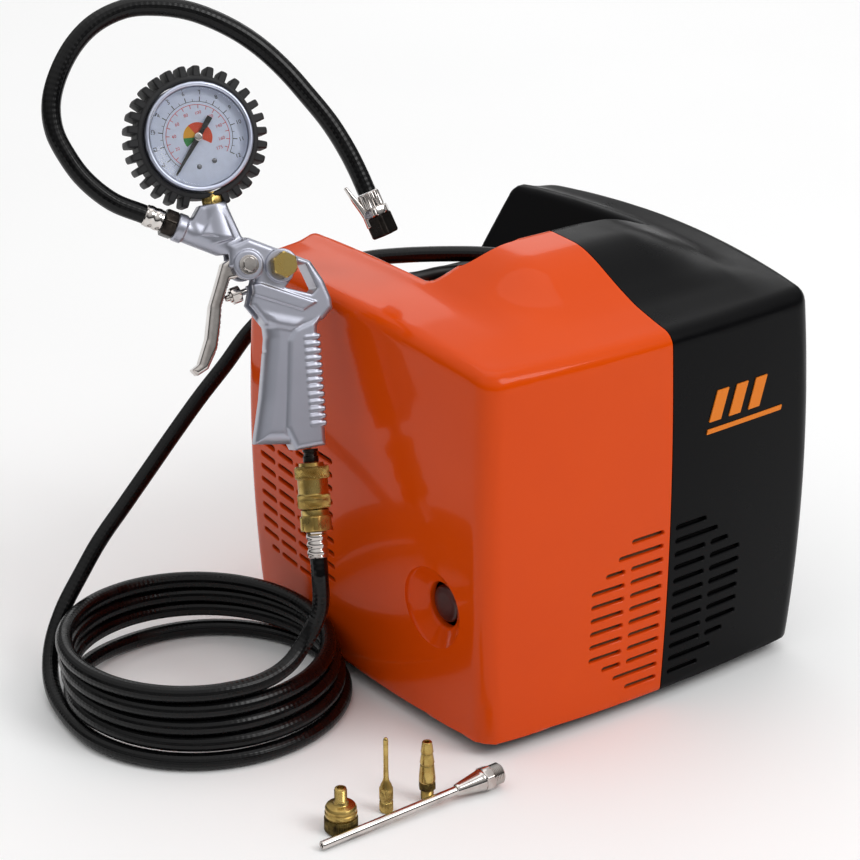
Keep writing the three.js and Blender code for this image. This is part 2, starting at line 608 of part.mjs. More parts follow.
// In the gun's own frame +X runs to the back of the grip, +Y up and +Z towards its left side.
const BARREL_TIP = [-89, 87.2, 0];
const barrelAxis = [0.889, -0.458, 0];
const PIVOT = [-48.4, 57.8];   // of the trigger
const NUT = [-53, 41];         // of the valve behind the trigger
const stemAxis = [-0.97, -0.24, 0];
const CAP = [-27.3, 55.1];     // of the valve in the gun's body
const COUPLER_AT = [-21.2, -61.3, 0];
const couplerAxis = [-0.05, -0.9987, 0];
const GAUGE = [-68.1, 140.6, 0];

const stemAt = [-63.5, 98.2, 0];
const stemUp = [GAUGE[0] - stemAt[0], GAUGE[1] - stemAt[1], 0];
const gripOutline = [[-56, 70], [-46, 75], [-30, 67], [-8, 56], [-1, 43], [2.6, 31], [2.6, 25], [-8.6, 16],
  [-9.5, 9], [-12.1, -52], [-12.8, -60], [-32.7, -61], [-33.5, -56.5], [-57.5, -54], [-50, -27],
  [-41.8, 11],
  [-41.5, 23], [-50, 33], [-44, 50], [-60, 58]];
const guardHole = [[-16.5, 56.5], [-11.6, 54.5], [-6.2, 38.5], [-10, 35.2], [-26.5, 41.2], [-22, 46]];
const triggerSlot = box(64, 64, TRIGGER_WIDTH + 1, -75, 34, 0);
const gunBody = cut(union(plate(gripOutline, GUN_THICKNESS),
  rod(8, 46, barrelAxis, BARREL_TIP), rod(9.5, 23.7, stemUp, [-60.9, 74.3, 0], ROUND, 8)),
plate(guardHole, 60), triggerSlot, rod(8, TRIGGER_WIDTH + 1, [0, 0, 1],
[...PIVOT, -TRIGGER_WIDTH / 2 - 0.5]),
rod(3.1, 60, [0, 0, 1], [...PIVOT, -30]), rod(3.2, 16, [0.97, 0.24, 0], [NUT[0] + 2, NUT[1] + 0.5, 0]));
piece('gun_body', gunBody, SILVER, gun);

piece('valve_cap', rod(8, 9, [0, 0, 1], [CAP[0], CAP[1], GUN_THICKNESS / 2 + GAP], 6), BRASS, gun);
const valveNut = cut(solid(rod(5.6, 6, stemAxis, [NUT[0] - 0.4, NUT[1], 0], 6)),
  rod(VALVE_STEM_RADIUS + 0.1, 20, stemAxis, [NUT[0] + 6, NUT[1] + 1.5, 0]));
piece('valve_nut', valveNut, CHROME, gun);
piece('valve_stem', rod(VALVE_STEM_RADIUS, 15, stemAxis, [NUT[0] + 4, NUT[1] + 1.1, 0], 12), STEEL, gun);

// ---------------------------------------------------------------- trigger

const triggerOutline = [[-52, 62.5], [-58, 63.5], [-63, 61], [-74, 36], [-79, 15], [-86, 0], [-91, -3],
  [-88, -7],
  [-80.5, -3], [-73, 9], [-69, 24], [-67.5, 34], [-60, 50], [-46, 51]];
piece('gun_trigger', cut(solid(plate(triggerOutline, TRIGGER_WIDTH)),
  rod(3.06, 40, [0, 0, 1], [...PIVOT, -20])), CHROME, gun);
piece('trigger_pin', rod(3, TRIGGER_WIDTH + 4, [0, 0, 1], [...PIVOT, -TRIGGER_WIDTH / 2 - 2]), STEEL, gun);

// ---------------------------------------------------------------- gauge

const facing = [0, 0, 1];
const gaugeAt = (z) => [GAUGE[0], GAUGE[1], z];
piece('gauge_stem', rod(5, 8, stemUp, stemAt, 12), BRASS, gun);
const CASE_BACK = -15;
const DIAL_Z = 2;
const RIM_Z = 9;
const dialWell = GAUGE_RADIUS - 2.5;
piece('gauge_case', turned([[0, CASE_BACK], [GAUGE_RADIUS, CASE_BACK], [GAUGE_RADIUS, RIM_Z],
  [dialWell, RIM_Z],
  [dialWell, DIAL_Z], [0, DIAL_Z]], facing, gaugeAt(0), FINE), CHROME, gun);
piece('gauge_boot', cut(solid(turned([[GAUGE_RADIUS + GAP, CASE_BACK - 1], [BOOT_RADIUS, CASE_BACK - 1],
  [BOOT_RADIUS, 5], [GAUGE_RADIUS + GAP, 5], [GAUGE_RADIUS + GAP, CASE_BACK - 1]], facing, gaugeAt(0),
  FINE)),
rod(9.8, 30, stemUp, [stemAt[0] + 2, stemAt[1] - 20, 0], 12), rod(5.3, 30, stemUp, stemAt, 12)), RUBBER,
gun);
piece('gauge_dial', rod(dialWell - GAP, 1, facing, gaugeAt(DIAL_Z + GAP), FINE), DIAL, gun);
const NEEDLE_Z = DIAL_Z + 2.4;
const NEEDLE_ZERO = 233;      // degrees anticlockwise from +X
piece('gauge_needle', union(rod(3, 1.2, facing, gaugeAt(NEEDLE_Z), 14),
  plate([[-8, -1.5], [24, -0.5], [24, 0.5], [-8, 1.5]], 1).rotateZ(rad(NEEDLE_ZERO))
    .translate(...gaugeAt(NEEDLE_Z + 0.6))), BLACK, gun);
piece('gauge_lens', rod(dialWell - GAP, 1.5, facing, gaugeAt(RIM_Z - 2.5), FINE), GLASS, gun);

// ---------------------------------------------------------------- short hose and chuck

const outOfBarrel = [-barrelAxis[0], -barrelAxis[1], 0];
const before = (d) => [BARREL_TIP[0] + outOfBarrel[0] * d, BARREL_TIP[1] + outOfBarrel[1] * d, 0];
const NUT_LENGTH = 8;
const CRIMP_LENGTH = 12;
const crimpStart = NUT_LENGTH + 2 * GAP;
piece('whip_nut', rod(9, NUT_LENGTH, outOfBarrel, before(GAP), 6), STEEL, gun);
piece('whip_ferrule', rod(7.2, CRIMP_LENGTH, outOfBarrel, before(crimpStart), 16), CHROME, gun);
const chuckAxis = [0.3, -0.954, 0];
const chuckAt = [37.2, 95, 0];
const whipRoute = [before(crimpStart + CRIMP_LENGTH + GAP), [-126, 106.5, 0], [-141.5, 121.8, 0],
  [-150.8, 137.8, 0], [-156.3, 153.4, 0], [-156, 170.2, 0], [-149.3, 187.7, 0], [-136.9, 205.3, 0],
  [-122, 217.2, 0], [-101.9, 224.2, 0], [-81.5, 223.7, 0], [-61.4, 218.9, 0], [-40, 208.1, 0],
  [-22.7, 195.1, 0], [-7.1, 178.4, 0], [6.4, 159.8, 0], [18.6, 141.2, 0], [28.1, 121.6, 0], [33.8, 106, 0],
  [chuckAt[0] - chuckAxis[0] * GAP, chuckAt[1] - chuckAxis[1] * GAP, 0]];
piece('whip_hose', tube(whipRoute, WHIP_RADIUS, 8, 30), HOSE_BLACK, gun);
const chuckPoint = (d) => [chuckAt[0] + chuckAxis[0] * d, chuckAt[1] + chuckAxis[1] * d, 0];
const chuckSlot = box(14, 31, 5.6, ...chuckPoint(19)).translate(-8.7, 3.2, 0);
piece('chuck_body', cut(union(rod(7.2, CRIMP_LENGTH, chuckAxis, chuckAt, 16),
  rod(8.5, 18, chuckAxis, chuckPoint(CRIMP_LENGTH - 0.01), 6)),
chuckSlot, rod(4, 14, chuckAxis, chuckPoint(22), 12)), CHROME, gun);

// Clip lever of the chuck, pivoted in a slot of its body.
const leverPivot = [chuckPoint(20)[0] - 6.4, chuckPoint(20)[1], 0];
piece('chuck_lever', plate([[-2, -4], [2.4, -2], [0.5, 4], [-9, 18], [-13, 24], [-14.5, 23], [-10, 14],
  [-4, 3]], 4)
  .translate(...leverPivot), CHROME, gun);

// ---------------------------------------------------------------- coupler on the gun

const COUPLER_LENGTH = 52;
const coupled = (d) => [COUPLER_AT[0] + couplerAxis[0] * d, COUPLER_AT[1] + couplerAxis[1] * d, 0];
const PLUG_NECK = 9;
piece('coupler_plug', rod(5, PLUG_NECK - 2 * GAP, couplerAxis, coupled(GAP), 12), STEEL, gun);
const SLEEVE_START = 11;
const SLEEVE_LENGTH = 27;
const SLEEVE_BORE = 8.1;
const sleeveEnd = COUPLER_RADIUS - 0.6;
const sleeveWaist = COUPLER_RADIUS - 1.2;
const sleeveProfile = [[SLEEVE_BORE, 0], [COUPLER_RADIUS, 0], [COUPLER_RADIUS, 8], [sleeveWaist, 9],
  [sleeveWaist, 18], [sleeveEnd, 19], [sleeveEnd, SLEEVE_LENGTH], [SLEEVE_BORE, SLEEVE_LENGTH],
  [SLEEVE_BORE, 0]];
piece('coupler_sleeve', turned(sleeveProfile, couplerAxis, coupled(SLEEVE_START)), BRASS, gun);
const SLEEVE_TRAVEL = 4;
const hexAt = SLEEVE_START + SLEEVE_LENGTH + SLEEVE_TRAVEL + 1;
piece('coupler_body', union(rod(SLEEVE_BORE - 0.1, hexAt - PLUG_NECK, couplerAxis, coupled(PLUG_NECK)),
  rod(COUPLER_RADIUS - 0.2, COUPLER_LENGTH - hexAt, couplerAxis, coupled(hexAt), 6)), BRASS, gun);
const FERRULE_LENGTH = 17;
piece('hose_ferrule_gun', rod(7, FERRULE_LENGTH, couplerAxis, coupled(COUPLER_LENGTH + GAP), 16), CHROME,
  gun);

/** A point of the gun's frame in the model's frame. */
function fromGun(point) {
  const tilt = new THREE.Vector3(...point).applyAxisAngle(new THREE.Vector3(1, 0, 0), rad(90 - GUN_TILT));
  const turnedPoint = tilt.applyAxisAngle(new THREE.Vector3(0, 0, 1), rad(GUN_TURN));
  return [turnedPoint.x + GUN_X, turnedPoint.y + GUN_Y, turnedPoint.z + GUN_Z];
}
const riserEnd = COUPLER_LENGTH + FERRULE_LENGTH + 2 * GAP;
const riserRoute = [[-197, -32.5, 64.5], [-191.5, -33.5, 77], [-189, -36, 88],
  fromGun(coupled(riserEnd + 12)), fromGun(coupled(riserEnd))];
piece('hose_riser', tube(riserRoute, HOSE_RADIUS, 8, 6), HOSE_BLACK);

// ---------------------------------------------------------------- adapters

const up = [0, 0, 1];
piece('adapter_valve', turned([[0, 0], [10.5, 0], [10.5, 9], [9.8, 12], [9.8, 16], [9, 17], [5, 18],
  [4.2, 20],
  [4.2, 29], [0, 29]], up, [-248, -145, GAP], 20), BRASS);
piece('adapter_needle', turned([[0, 0], [4.4, 0], [4.4, 17], [3.6, 19], [1.8, 23], [1.6, 50], [0, 51.5]],
  up, [-214, -144, GAP], 14), BRASS);
piece('adapter_cone', turned([[0, 0], [4.2, 0], [4.2, 8], [5.4, 9], [5.4, 14], [4.4, 25], [4.2, 25.5],
  [4.6, 26.5],
  [3.7, 33], [4, 34], [3, 41], [0, 41]], up, [-186, -148, GAP], 14), BRASS);
const blowTip = [-271, -158, 3.4];
const blowHead = [-139, -160, 8.6];
const blowAxis = blowHead.map((v, i) => v - blowTip[i]);
const BLOW_LENGTH = Math.hypot(...blowAxis);
const blowProfile = [[0, 0], [2.8, 0], [2.8, BLOW_LENGTH - 34], [4, BLOW_LENGTH - 34],
  [7, BLOW_LENGTH - 15],
  [8, BLOW_LENGTH - 14], [8, BLOW_LENGTH - 8], [7, BLOW_LENGTH - 7], [7, BLOW_LENGTH], [0, BLOW_LENGTH]];
piece('blow_nozzle', turned(blowProfile, blowAxis, blowTip, 16), CHROME);

export default model;
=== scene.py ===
"""Portable oil-less air compressor: two-tone moulded casing, air hose, inflator gun and adapters."""

import math

import bmesh
import bpy
import numpy as np
from mathutils import Matrix, Vector


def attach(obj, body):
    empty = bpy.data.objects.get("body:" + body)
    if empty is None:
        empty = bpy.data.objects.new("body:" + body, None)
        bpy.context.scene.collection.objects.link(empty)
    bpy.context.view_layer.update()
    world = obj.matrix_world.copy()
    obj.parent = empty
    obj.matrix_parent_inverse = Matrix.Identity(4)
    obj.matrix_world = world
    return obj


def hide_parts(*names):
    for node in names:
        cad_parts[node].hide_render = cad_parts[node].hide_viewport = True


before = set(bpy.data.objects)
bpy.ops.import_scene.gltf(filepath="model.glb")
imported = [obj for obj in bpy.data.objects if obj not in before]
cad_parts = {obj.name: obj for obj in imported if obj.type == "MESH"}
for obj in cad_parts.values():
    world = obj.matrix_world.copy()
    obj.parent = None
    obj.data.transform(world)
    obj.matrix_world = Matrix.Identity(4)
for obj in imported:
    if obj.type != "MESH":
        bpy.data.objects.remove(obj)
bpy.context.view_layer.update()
MM = 0.001

# ---------------------------------------------------------------- camera
# A long lens on a stand in front of the orange corner, a little above the casing.
lens = bpy.data.cameras.new("studio_camera")
lens.lens = 111.33
lens.sensor_width = 36
lens.clip_start = 0.05
lens.clip_end = 20
camera = bpy.data.objects.new("studio_camera", lens)
bpy.context.scene.collection.objects.link(camera)
CAMERA_AZIMUTH = math.radians(-35.56)
CAMERA_ELEVATION = math.radians(23.82)
CAMERA_ROLL = math.radians(-0.16)
camera.location = Vector((-1005.3, -1298.1, 873.0)) * MM
back = Vector((
    math.sin(CAMERA_AZIMUTH) * math.cos(CAMERA_ELEVATION),
    -math.cos(CAMERA_AZIMUTH) * math.cos(CAMERA_ELEVATION),
    math.sin(CAMERA_ELEVATION),
))
camera.rotation_mode = "QUATERNION"
roll = Matrix.Rotation(CAMERA_ROLL, 3, "Z").to_quaternion()
camera.rotation_quaternion = (-back).to_track_quat("-Z", "Y") @ roll
bpy.context.scene.camera = camera

# ---------------------------------------------------------------- casing shells
# Two injection-moulded ABS shells, gloss orange and satin black, that meet in a seam round the
# middle: a barrel-sided cube with a carrying ridge over the front and a storage trough behind it.
CASE_LENGTH = 260
CASE_DEPTH = 268
CASE_TOP = 263
FOOT_HEIGHT = 9
WALL = 3
SEAM_X = 8
SEAM_GAP = 0.7
CORNER_RADIUS = 12
END_CROWN = 8
FRONT_CROWN = 6
BARREL = 4.4
TOP_CROWN = 8.9
STRIP_RISE = 4.5
RIDGE_RISE = 18.5
TROUGH_TOP_HALF = 84
TROUGH_FLOOR_HALF = 54
TROUGH_FLOOR_Z = 218
TROUGH_FRONT_Y = 10
TROUGH_SIDE_SLOPE = 1.62
TROUGH_FRONT_SLOPE = 3.4
TOP_EDGE_RADIUS = 9
BOTTOM_EDGE_RADIUS = 2.5
RIM_RADIUS = 5
MID_Z = (CASE_TOP + FOOT_HEIGHT) / 2
HALF_HEIGHT = (CASE_TOP - FOOT_HEIGHT) / 2


def ease(t):
    """Smooth step from 0 to 1."""
    c = np.clip(t, 0, 1)
    return c * c * (3 - 2 * c)


def both(a, b, radius):
    """The space inside two forms at once, its outer edge rounded. Fields are in mm, negative inside."""
    outside = np.hypot(np.maximum(a + radius, 0), np.maximum(b + radius, 0))
    return np.minimum(np.maximum(a, b), -radius) + outside


def either(a, b, radius):
    """The space inside either of two forms, with a fillet where they meet."""
    return -both(-a, -b, radius)


def casing_halves(z):
    """Half length and half depth of the casing's corners at a height."""
    t = (z - MID_Z) / HALF_HEIGHT
    swell = BARREL * np.maximum(-0.5, 1 - t * t)
    return CASE_LENGTH / 2 + swell, CASE_DEPTH / 2 + swell


def casing_sides(x, y, z):
    """Distance out of the crowned side walls."""
    hx, hy = casing_halves(z)
    end = np.abs(x) - hx - END_CROWN * (1 - (y / hy) ** 2)
    end = end / np.hypot(1, 2 * END_CROWN * y / hy**2)
    front = np.abs(y) - hy - FRONT_CROWN * (1 - (x / hx) ** 2)
    front = front / np.hypot(1, 2 * FRONT_CROWN * x / hx**2)
    return both(end, front, CORNER_RADIUS)


def top_height(x, y):
    """Height of the crowned top with its carrying ridge, before the trough is sunk into it."""
    u = np.abs(x - SEAM_X)
    depth = np.minimum(1, np.abs(y) / (CASE_DEPTH / 2))
    outer = CASE_LENGTH / 2 - np.sign(x - SEAM_X) * SEAM_X
    strip = np.clip((u - TROUGH_TOP_HALF) / (outer - TROUGH_TOP_HALF), 0, 1)
    edge = CASE_TOP - 1 + TOP_CROWN * (1 - depth * depth)
    rise = STRIP_RISE * (1 - strip) * ease((y + CASE_DEPTH / 2) / 45)
    ridge = RIDGE_RISE * ease((y + 108) / 68) * (1 - ease((u - 38) / 66))
    return edge + rise + ridge


def trough(x, y, z):
    """Distance out of the trough's empty space."""
    u = np.abs(x - SEAM_X)
    floor = TROUGH_FLOOR_Z - z
    side = floor + TROUGH_SIDE_SLOPE * (u - TROUGH_FLOOR_HALF)
    front = floor + TROUGH_FRONT_SLOPE * (TROUGH_FRONT_Y - y)
    side = side / math.hypot(1, TROUGH_SIDE_SLOPE)
    front = front / math.hypot(1, TROUGH_FRONT_SLOPE)
    return both(both(floor, side, RIM_RADIUS), front, RIM_RADIUS)


def casing_body(x, y, z, bottom=FOOT_HEIGHT):
    """Distance out of the casing as a full block, from its bottom edge up."""
    step = 0.5
    slope_x = (top_height(x + step, y) - top_height(x - step, y)) / (2 * step)
    slope_y = (top_height(x, y + step) - top_height(x, y - step)) / (2 * step)
    top = (z - top_height(x, y)) / np.sqrt(1 + slope_x**2 + slope_y**2)
    block = both(casing_sides(x, y, z), top, TOP_EDGE_RADIUS)
    block = both(block, bottom - z, BOTTOM_EDGE_RADIUS)
    return both(block, -trough(x, y, z), RIM_RADIUS)


def skin(field, low, high, step):
    """Points and quads where a field is zero, found on a grid and then drawn exactly onto the form."""
    lines = [np.arange(a, b + step, step) for a, b in zip(low, high)]
    value = np.broadcast_to(field(*np.ix_(*lines)), [len(line) for line in lines])
    total = np.zeros([n - 1 for n in value.shape] + [3])
    hits = np.zeros(total.shape[:3])
    rings = []
    for axis in range(3):
        count = value.shape[axis]
        low_side = np.take(value, range(count - 1), axis)
        high_side = np.take(value, range(1, count), axis)
        crossing = (low_side < 0) != (high_side < 0)
        where = np.argwhere(crossing)
        at = where.astype(float)
        at[:, axis] += low_side[crossing] / (low_side[crossing] - high_side[crossing])
        u, v = (axis + 1) % 3, (axis + 2) % 3
        cells = []
        for du, dv in ((0, 0), (1, 0), (1, 1), (0, 1)):
            cell = where.copy()
            cell[:, u] -= du
            cell[:, v] -= dv
            np.add.at(total, tuple(cell.T), at)
            np.add.at(hits, tuple(cell.T), 1)
            cells.append(cell)
        rings.append((np.stack(cells, 1), low_side[crossing] < 0))
    used = hits > 0
    number = np.full(hits.shape, -1)
    number[used] = np.arange(used.sum())
    points = total[used] / hits[used][:, None] * step + np.array(low, float)
    quads = []
    for cells, outward in rings:
        quad = number[tuple(np.moveaxis(cells, -1, 0))]
        quads.append(np.where(outward[:, None], quad, quad[:, ::-1]))
    for _ in range(3):
        here = field(*points.T)
        nudge = 0.05
        slope = np.stack([
            (field(*(points + nudge * d).T) - field(*(points - nudge * d).T)) / (2 * nudge)
            for d in np.eye(3)
        ], 1)
        length = np.maximum((slope**2).sum(1), 0.25)
        points = points - np.clip(here / length, -step, step)[:, None] * slope
    return points, np.concatenate(quads)


def new_piece(name, points, faces, finish, sharp=30):
    """A mesh object from points in mm. Edges over the sharp angle, in degrees, stay crisp."""
    mesh = bpy.data.meshes.new(name)
    scaled = (np.asarray(points, float) * MM).tolist()
    mesh.from_pydata(scaled, [], [list(map(int, f)) for f in faces])
    mesh.polygons.foreach_set("use_smooth", [True] * len(mesh.polygons))
    mesh.set_sharp_from_angle(angle=math.radians(sharp))
    if finish:
        mesh.materials.append(finish)
    made = bpy.data.objects.new(name, mesh)
    bpy.context.scene.collection.objects.link(made)
    return made


def shape(piece, tool, operation, sharp=30):
    """Cuts, joins or keeps what a piece shares with a tool, and removes the tool."""
    modifier = piece.modifiers.new(operation.lower(), "BOOLEAN")
    modifier.operation = operation
    modifier.solver = "MANIFOLD"
    modifier.object = tool
    evaluated = piece.evaluated_get(bpy.context.evaluated_depsgraph_get())
    mesh = bpy.data.meshes.new_from_object(evaluated)
    piece.modifiers.remove(modifier)
    bpy.data.objects.remove(tool)
    old = piece.data
    mesh.name = old.name
    piece.data = mesh
    bpy.data.meshes.remove(old)
    mesh.polygons.foreach_set("use_smooth", [True] * len(mesh.polygons))
    mesh.set_sharp_from_angle(angle=math.radians(sharp))
    return piece


def copy_of(piece, name):
    """A free copy of a piece, to be shaped further."""
    made = bpy.data.objects.new(name, piece.data.copy())
    bpy.context.scene.collection.objects.link(made)
    return made


def block(low, high):
    """A box to cut with, from its lowest and highest corner in mm."""
    corners = [[(low, high)[i][0], (low, high)[j][1], (low, high)[k][2]]
               for i in (0, 1) for j in (0, 1) for k in (0, 1)]
    faces = [(0, 1, 3, 2), (4, 6, 7, 5), (0, 4, 5, 1), (2, 3, 7, 6), (0, 2, 6, 4), (1, 5, 7, 3)]
    return new_piece("cutter", corners, faces, None)


def frame_along(direction):
    """Three square axes, the last along a direction."""
    w = np.array(direction, float) / np.linalg.norm(direction)
    helper = np.array([0, 0, 1.0]) if abs(w[2]) < 0.9 else np.array([1.0, 0, 0])
    u = np.cross(helper, w)
    u /= np.linalg.norm(u)
    return u, np.cross(w, u), w


def turned_mesh(profile, direction, at, sides=64):
    """Points and faces of a turned form: (radius, distance) pairs along an axis. A radius may be a
    function of the angle, which makes flats, flutes and knurling."""
    u, v, w = frame_along(direction)
    angles = np.arange(sides) / sides * 2 * math.pi
    points, rings = [], []
    for radius, distance in profile:
        centre = np.array(at, float) + w * distance
        if not callable(radius) and radius <= 0:
            rings.append([len(points)])
            points.append(centre)
            continue
        r = radius(angles) if callable(radius) else np.full(sides, float(radius))
        ring = centre + np.outer(r * np.cos(angles), u) + np.outer(r * np.sin(angles), v)
        rings.append(list(range(len(points), len(points) + sides)))
        points.extend(ring)
    faces = []
    for first, second in zip(rings, rings[1:]):
        for i in range(sides):
            j = (i + 1) % sides
            if len(first) == 1 and len(second) > 1:
                faces.append((first[0], second[j], second[i]))
            elif len(second) == 1 and len(first) > 1:
                faces.append((first[i], first[j], second[0]))
            elif len(first) > 1:
                faces.append((first[i], first[j], second[j], second[i]))
    return np.array(points), faces


def softened(profile, radius, steps=3):
    """The same profile with its corners turned into small arcs."""
    points = [np.array(p, float) for p in profile]
    made = [points[0]]
    for before, corner, after in zip(points, points[1:], points[2:]):
        a, b = before - corner, after - corner
        la, lb = np.linalg.norm(a), np.linalg.norm(b)
        if min(la, lb) < 1e-6:
            made.append(corner)
            continue
        reach = min(radius, 0.45 * la, 0.45 * lb)
        start, end = corner + a / la * reach, corner + b / lb * reach
        for i in range(steps + 1):
            t = i / steps
            made.append((1 - t) ** 2 * start + 2 * t * (1 - t) * corner + t**2 * end)
    made.append(points[-1])
    return [tuple(p) for p in made]


def turned(name, profile, direction, at, finish, sides=64, soft=0.3, sharp=35):
    """A turned piece with small rounds on its corners."""
    plain = all(not callable(r) for r, _ in profile)
    points, faces = turned_mesh(softened(profile, soft) if plain and soft else profile, direction, at, sides)
    return new_piece(name, points, faces, finish, sharp)


def linear(colour):
    """An sRGB hex colour as the linear RGBA that a shader takes."""
    parts = [int(colour[i:i + 2], 16) / 255 for i in (1, 3, 5)]
    return [p / 12.92 if p <= 0.04045 else ((p + 0.055) / 1.055) ** 2.4 for p in parts] + [1.0]


def add(tree, kind, inputs=None, **settings):
    """A node with its settings. Each input is a value, or another node's output to link."""
    made = tree.nodes.new(kind)
    for name, value in settings.items():
        setattr(made, name, value)
    for key, value in (inputs or {}).items():
        if isinstance(value, bpy.types.NodeSocket):
            tree.links.new(value, made.inputs[key])
        else:
            made.inputs[key].default_value = value
    return made


def finish_of(name, **surface):
    """A new material with its Principled surface. Returns the material, its tree and the surface."""
    made = bpy.data.materials.new(name)
    made.use_nodes = True
    tree = made.node_tree
    tree.nodes.clear()
    words = {key.replace("_", " "): value for key, value in surface.items()}
    main = add(tree, "ShaderNodeBsdfPrincipled", words)
    add(tree, "ShaderNodeOutputMaterial", {"Surface": main.outputs["BSDF"]})
    return made, tree, main


def moulded_abs(name, shade, deep, roughness, coat, grain, depth, shine=0.12):
    """Moulded ABS: the colour drifts a little, the gloss is uneven from handling, and the faint
    waviness or grain of the mould breaks up long reflections."""
    made, tree, main = finish_of(name, Roughness=roughness, IOR=1.53, Coat_Weight=coat, Coat_Roughness=0.06,
                                Specular_IOR_Level=shine)
    where = add(tree, "ShaderNodeTexCoord").outputs["Object"]
    drift = add(tree, "ShaderNodeTexNoise", {"Vector": where, "Scale": 1 / 0.09, "Detail": 3.0})
    colour = add(tree, "ShaderNodeMix",
                 {"Factor": drift.outputs["Fac"], "A": linear(shade), "B": linear(deep)},
                 data_type="RGBA")
    tree.links.new(colour.outputs[2], main.inputs["Base Color"])
    haze = add(tree, "ShaderNodeTexNoise",
               {"Vector": where, "Scale": 1 / 0.03, "Detail": 6.0, "Roughness": 0.6})
    gloss = add(tree, "ShaderNodeMapRange", {"Value": haze.outputs["Fac"], "From Min": 0.3, "From Max": 0.7,
                                             "To Min": roughness * 0.85, "To Max": roughness * 1.2})
    tree.links.new(gloss.outputs["Result"], main.inputs["Roughness"])
    mould = add(tree, "ShaderNodeTexNoise", {"Vector": where, "Scale": 1 / grain, "Detail": 2.0})
    bump = add(tree, "ShaderNodeBump", {"Height": mould.outputs["Fac"], "Strength": 0.35, "Distance": depth})
    tree.links.new(bump.outputs["Normal"], main.inputs["Normal"])
    return made


gloss_orange_abs = moulded_abs("gloss_orange_ABS", "#E24E04", "#D84602", 0.22, 0.25, 0.02, 0.00003, 0.05)
satin_black_abs = moulded_abs("satin_black_ABS", "#08080A", "#060607", 0.3, 0.0, 0.0009, 0.00003, 0.07)

DISH_Y = -88
DISH_Z = 93
DISH_RADIUS = 27.5
DISH_DEPTH = 9
BUTTON_HOLE = 15
DISH_FACE = -CASE_LENGTH / 2 - END_CROWN / 2 - BARREL - 1.2

CASING_LOW = (-150, -152, 3)
CASING_HIGH = (150, 152, 300)
body_points, body_quads = skin(casing_body, CASING_LOW, CASING_HIGH, 3)


def casing_hollow(x, y, z):
    """Distance out of the space inside the casing's walls, open through the bottom. The wall is
    thicker round the dish of the reset button."""
    round_dish = np.hypot(y - DISH_Y, z - DISH_Z) - DISH_RADIUS - 4
    thick = np.maximum(round_dish, x - DISH_FACE - 14)
    return both(casing_body(x, y, z, FOOT_HEIGHT - 8) + WALL, -thick, 1)


hollow_points, hollow_quads = skin(casing_hollow, (-150, -152, -3), CASING_HIGH, 5)


def wall_point(side, along, height, out):
    """A point on a side wall: its direction, the place along it and up it, and the distance out."""
    hx, hy = casing_halves(height)
    if side[0]:
        return [side[0] * (hx + END_CROWN * (1 - (along / hy) ** 2) + out), along, height]
    return [along, side[1] * (hy + FRONT_CROWN * (1 - (along / hx) ** 2) + out), height]


SLOT_PITCH = 9.65
SLOT_HEIGHT = 3.3
SLOT_ROWS = 12
FRONT_SLOT = 26
FRONT_SLOT_GAP = 5
END_SLOT = 21
END_SLOT_PITCH = 25
SLOT_CHAMFER = 0.55


def slot_cutter(side, along, height, length, points, faces):
    """Adds one round-ended slot with a broken edge that follows the wall."""
    sections = [(2, SLOT_CHAMFER + 2), (0, SLOT_CHAMFER), (-SLOT_CHAMFER, 0), (-9, 0)]
    arc = 7
    outline = []
    for end in (1, -1):
        for i in range(arc):
            a = (i / (arc - 1) - 0.5) * math.pi
            outline.append((end * math.cos(a), end * math.sin(a), end))
    start = len(points)
    for out, grow in sections:
        r = SLOT_HEIGHT / 2 + grow
        for c, s, end in outline:
            across = along + end * (length - SLOT_HEIGHT) / 2 + r * c
            points.append(wall_point(side, across, height + r * s, out))
    count = len(outline)
    for k in range(len(sections) - 1):
        for i in range(count):
            j = (i + 1) % count
            a, b = start + k * count, start + (k + 1) * count
            faces.append((a + i, a + j, b + j, b + i))
    faces.append([start + i for i in reversed(range(count))])
    faces.append([start + (len(sections) - 1) * count + i for i in range(count)])


def vent_cutters():
    """All the vent slots of the front, and of both ends, as one set of cutters."""
    points, faces = [], []
    for half in (-1, 1):
        for row in range(SLOT_ROWS):
            height = 128 - SLOT_PITCH * row
            long = FRONT_SLOT * (1.4 if row in (1, SLOT_ROWS - 2) else 1)
            slot_cutter((0, -1), SEAM_X + half * (FRONT_SLOT_GAP + long / 2), height, long, points, faces)
            if 2 <= row <= SLOT_ROWS - 3:
                outer = FRONT_SLOT * (0.58 if row in (2, SLOT_ROWS - 3) else 1)
                near = FRONT_SLOT + 2 * FRONT_SLOT_GAP
                slot_cutter((0, -1), SEAM_X + half * (near + outer / 2), height, outer, points, faces)
            for column in range(4):
                cut = row in (0, SLOT_ROWS - 1) and column in (0, 3)
                shift = (END_SLOT / 4 if column else -END_SLOT / 4) if cut else 0
                across = CASE_DEPTH / 2 - 29 - column * END_SLOT_PITCH + shift
                slot_cutter((half, 0), across, 165 - SLOT_PITCH * row, END_SLOT / 2 if cut else END_SLOT,
                            points, faces)
    made = new_piece("cutter", points, faces, None)
    outward(made)
    return made


def outward(piece):
    """Turns a closed mesh's faces to point out."""
    work = bmesh.new()
    work.from_mesh(piece.data)
    bmesh.ops.recalc_face_normals(work, faces=work.faces)
    work.to_mesh(piece.data)
    work.free()
    return piece


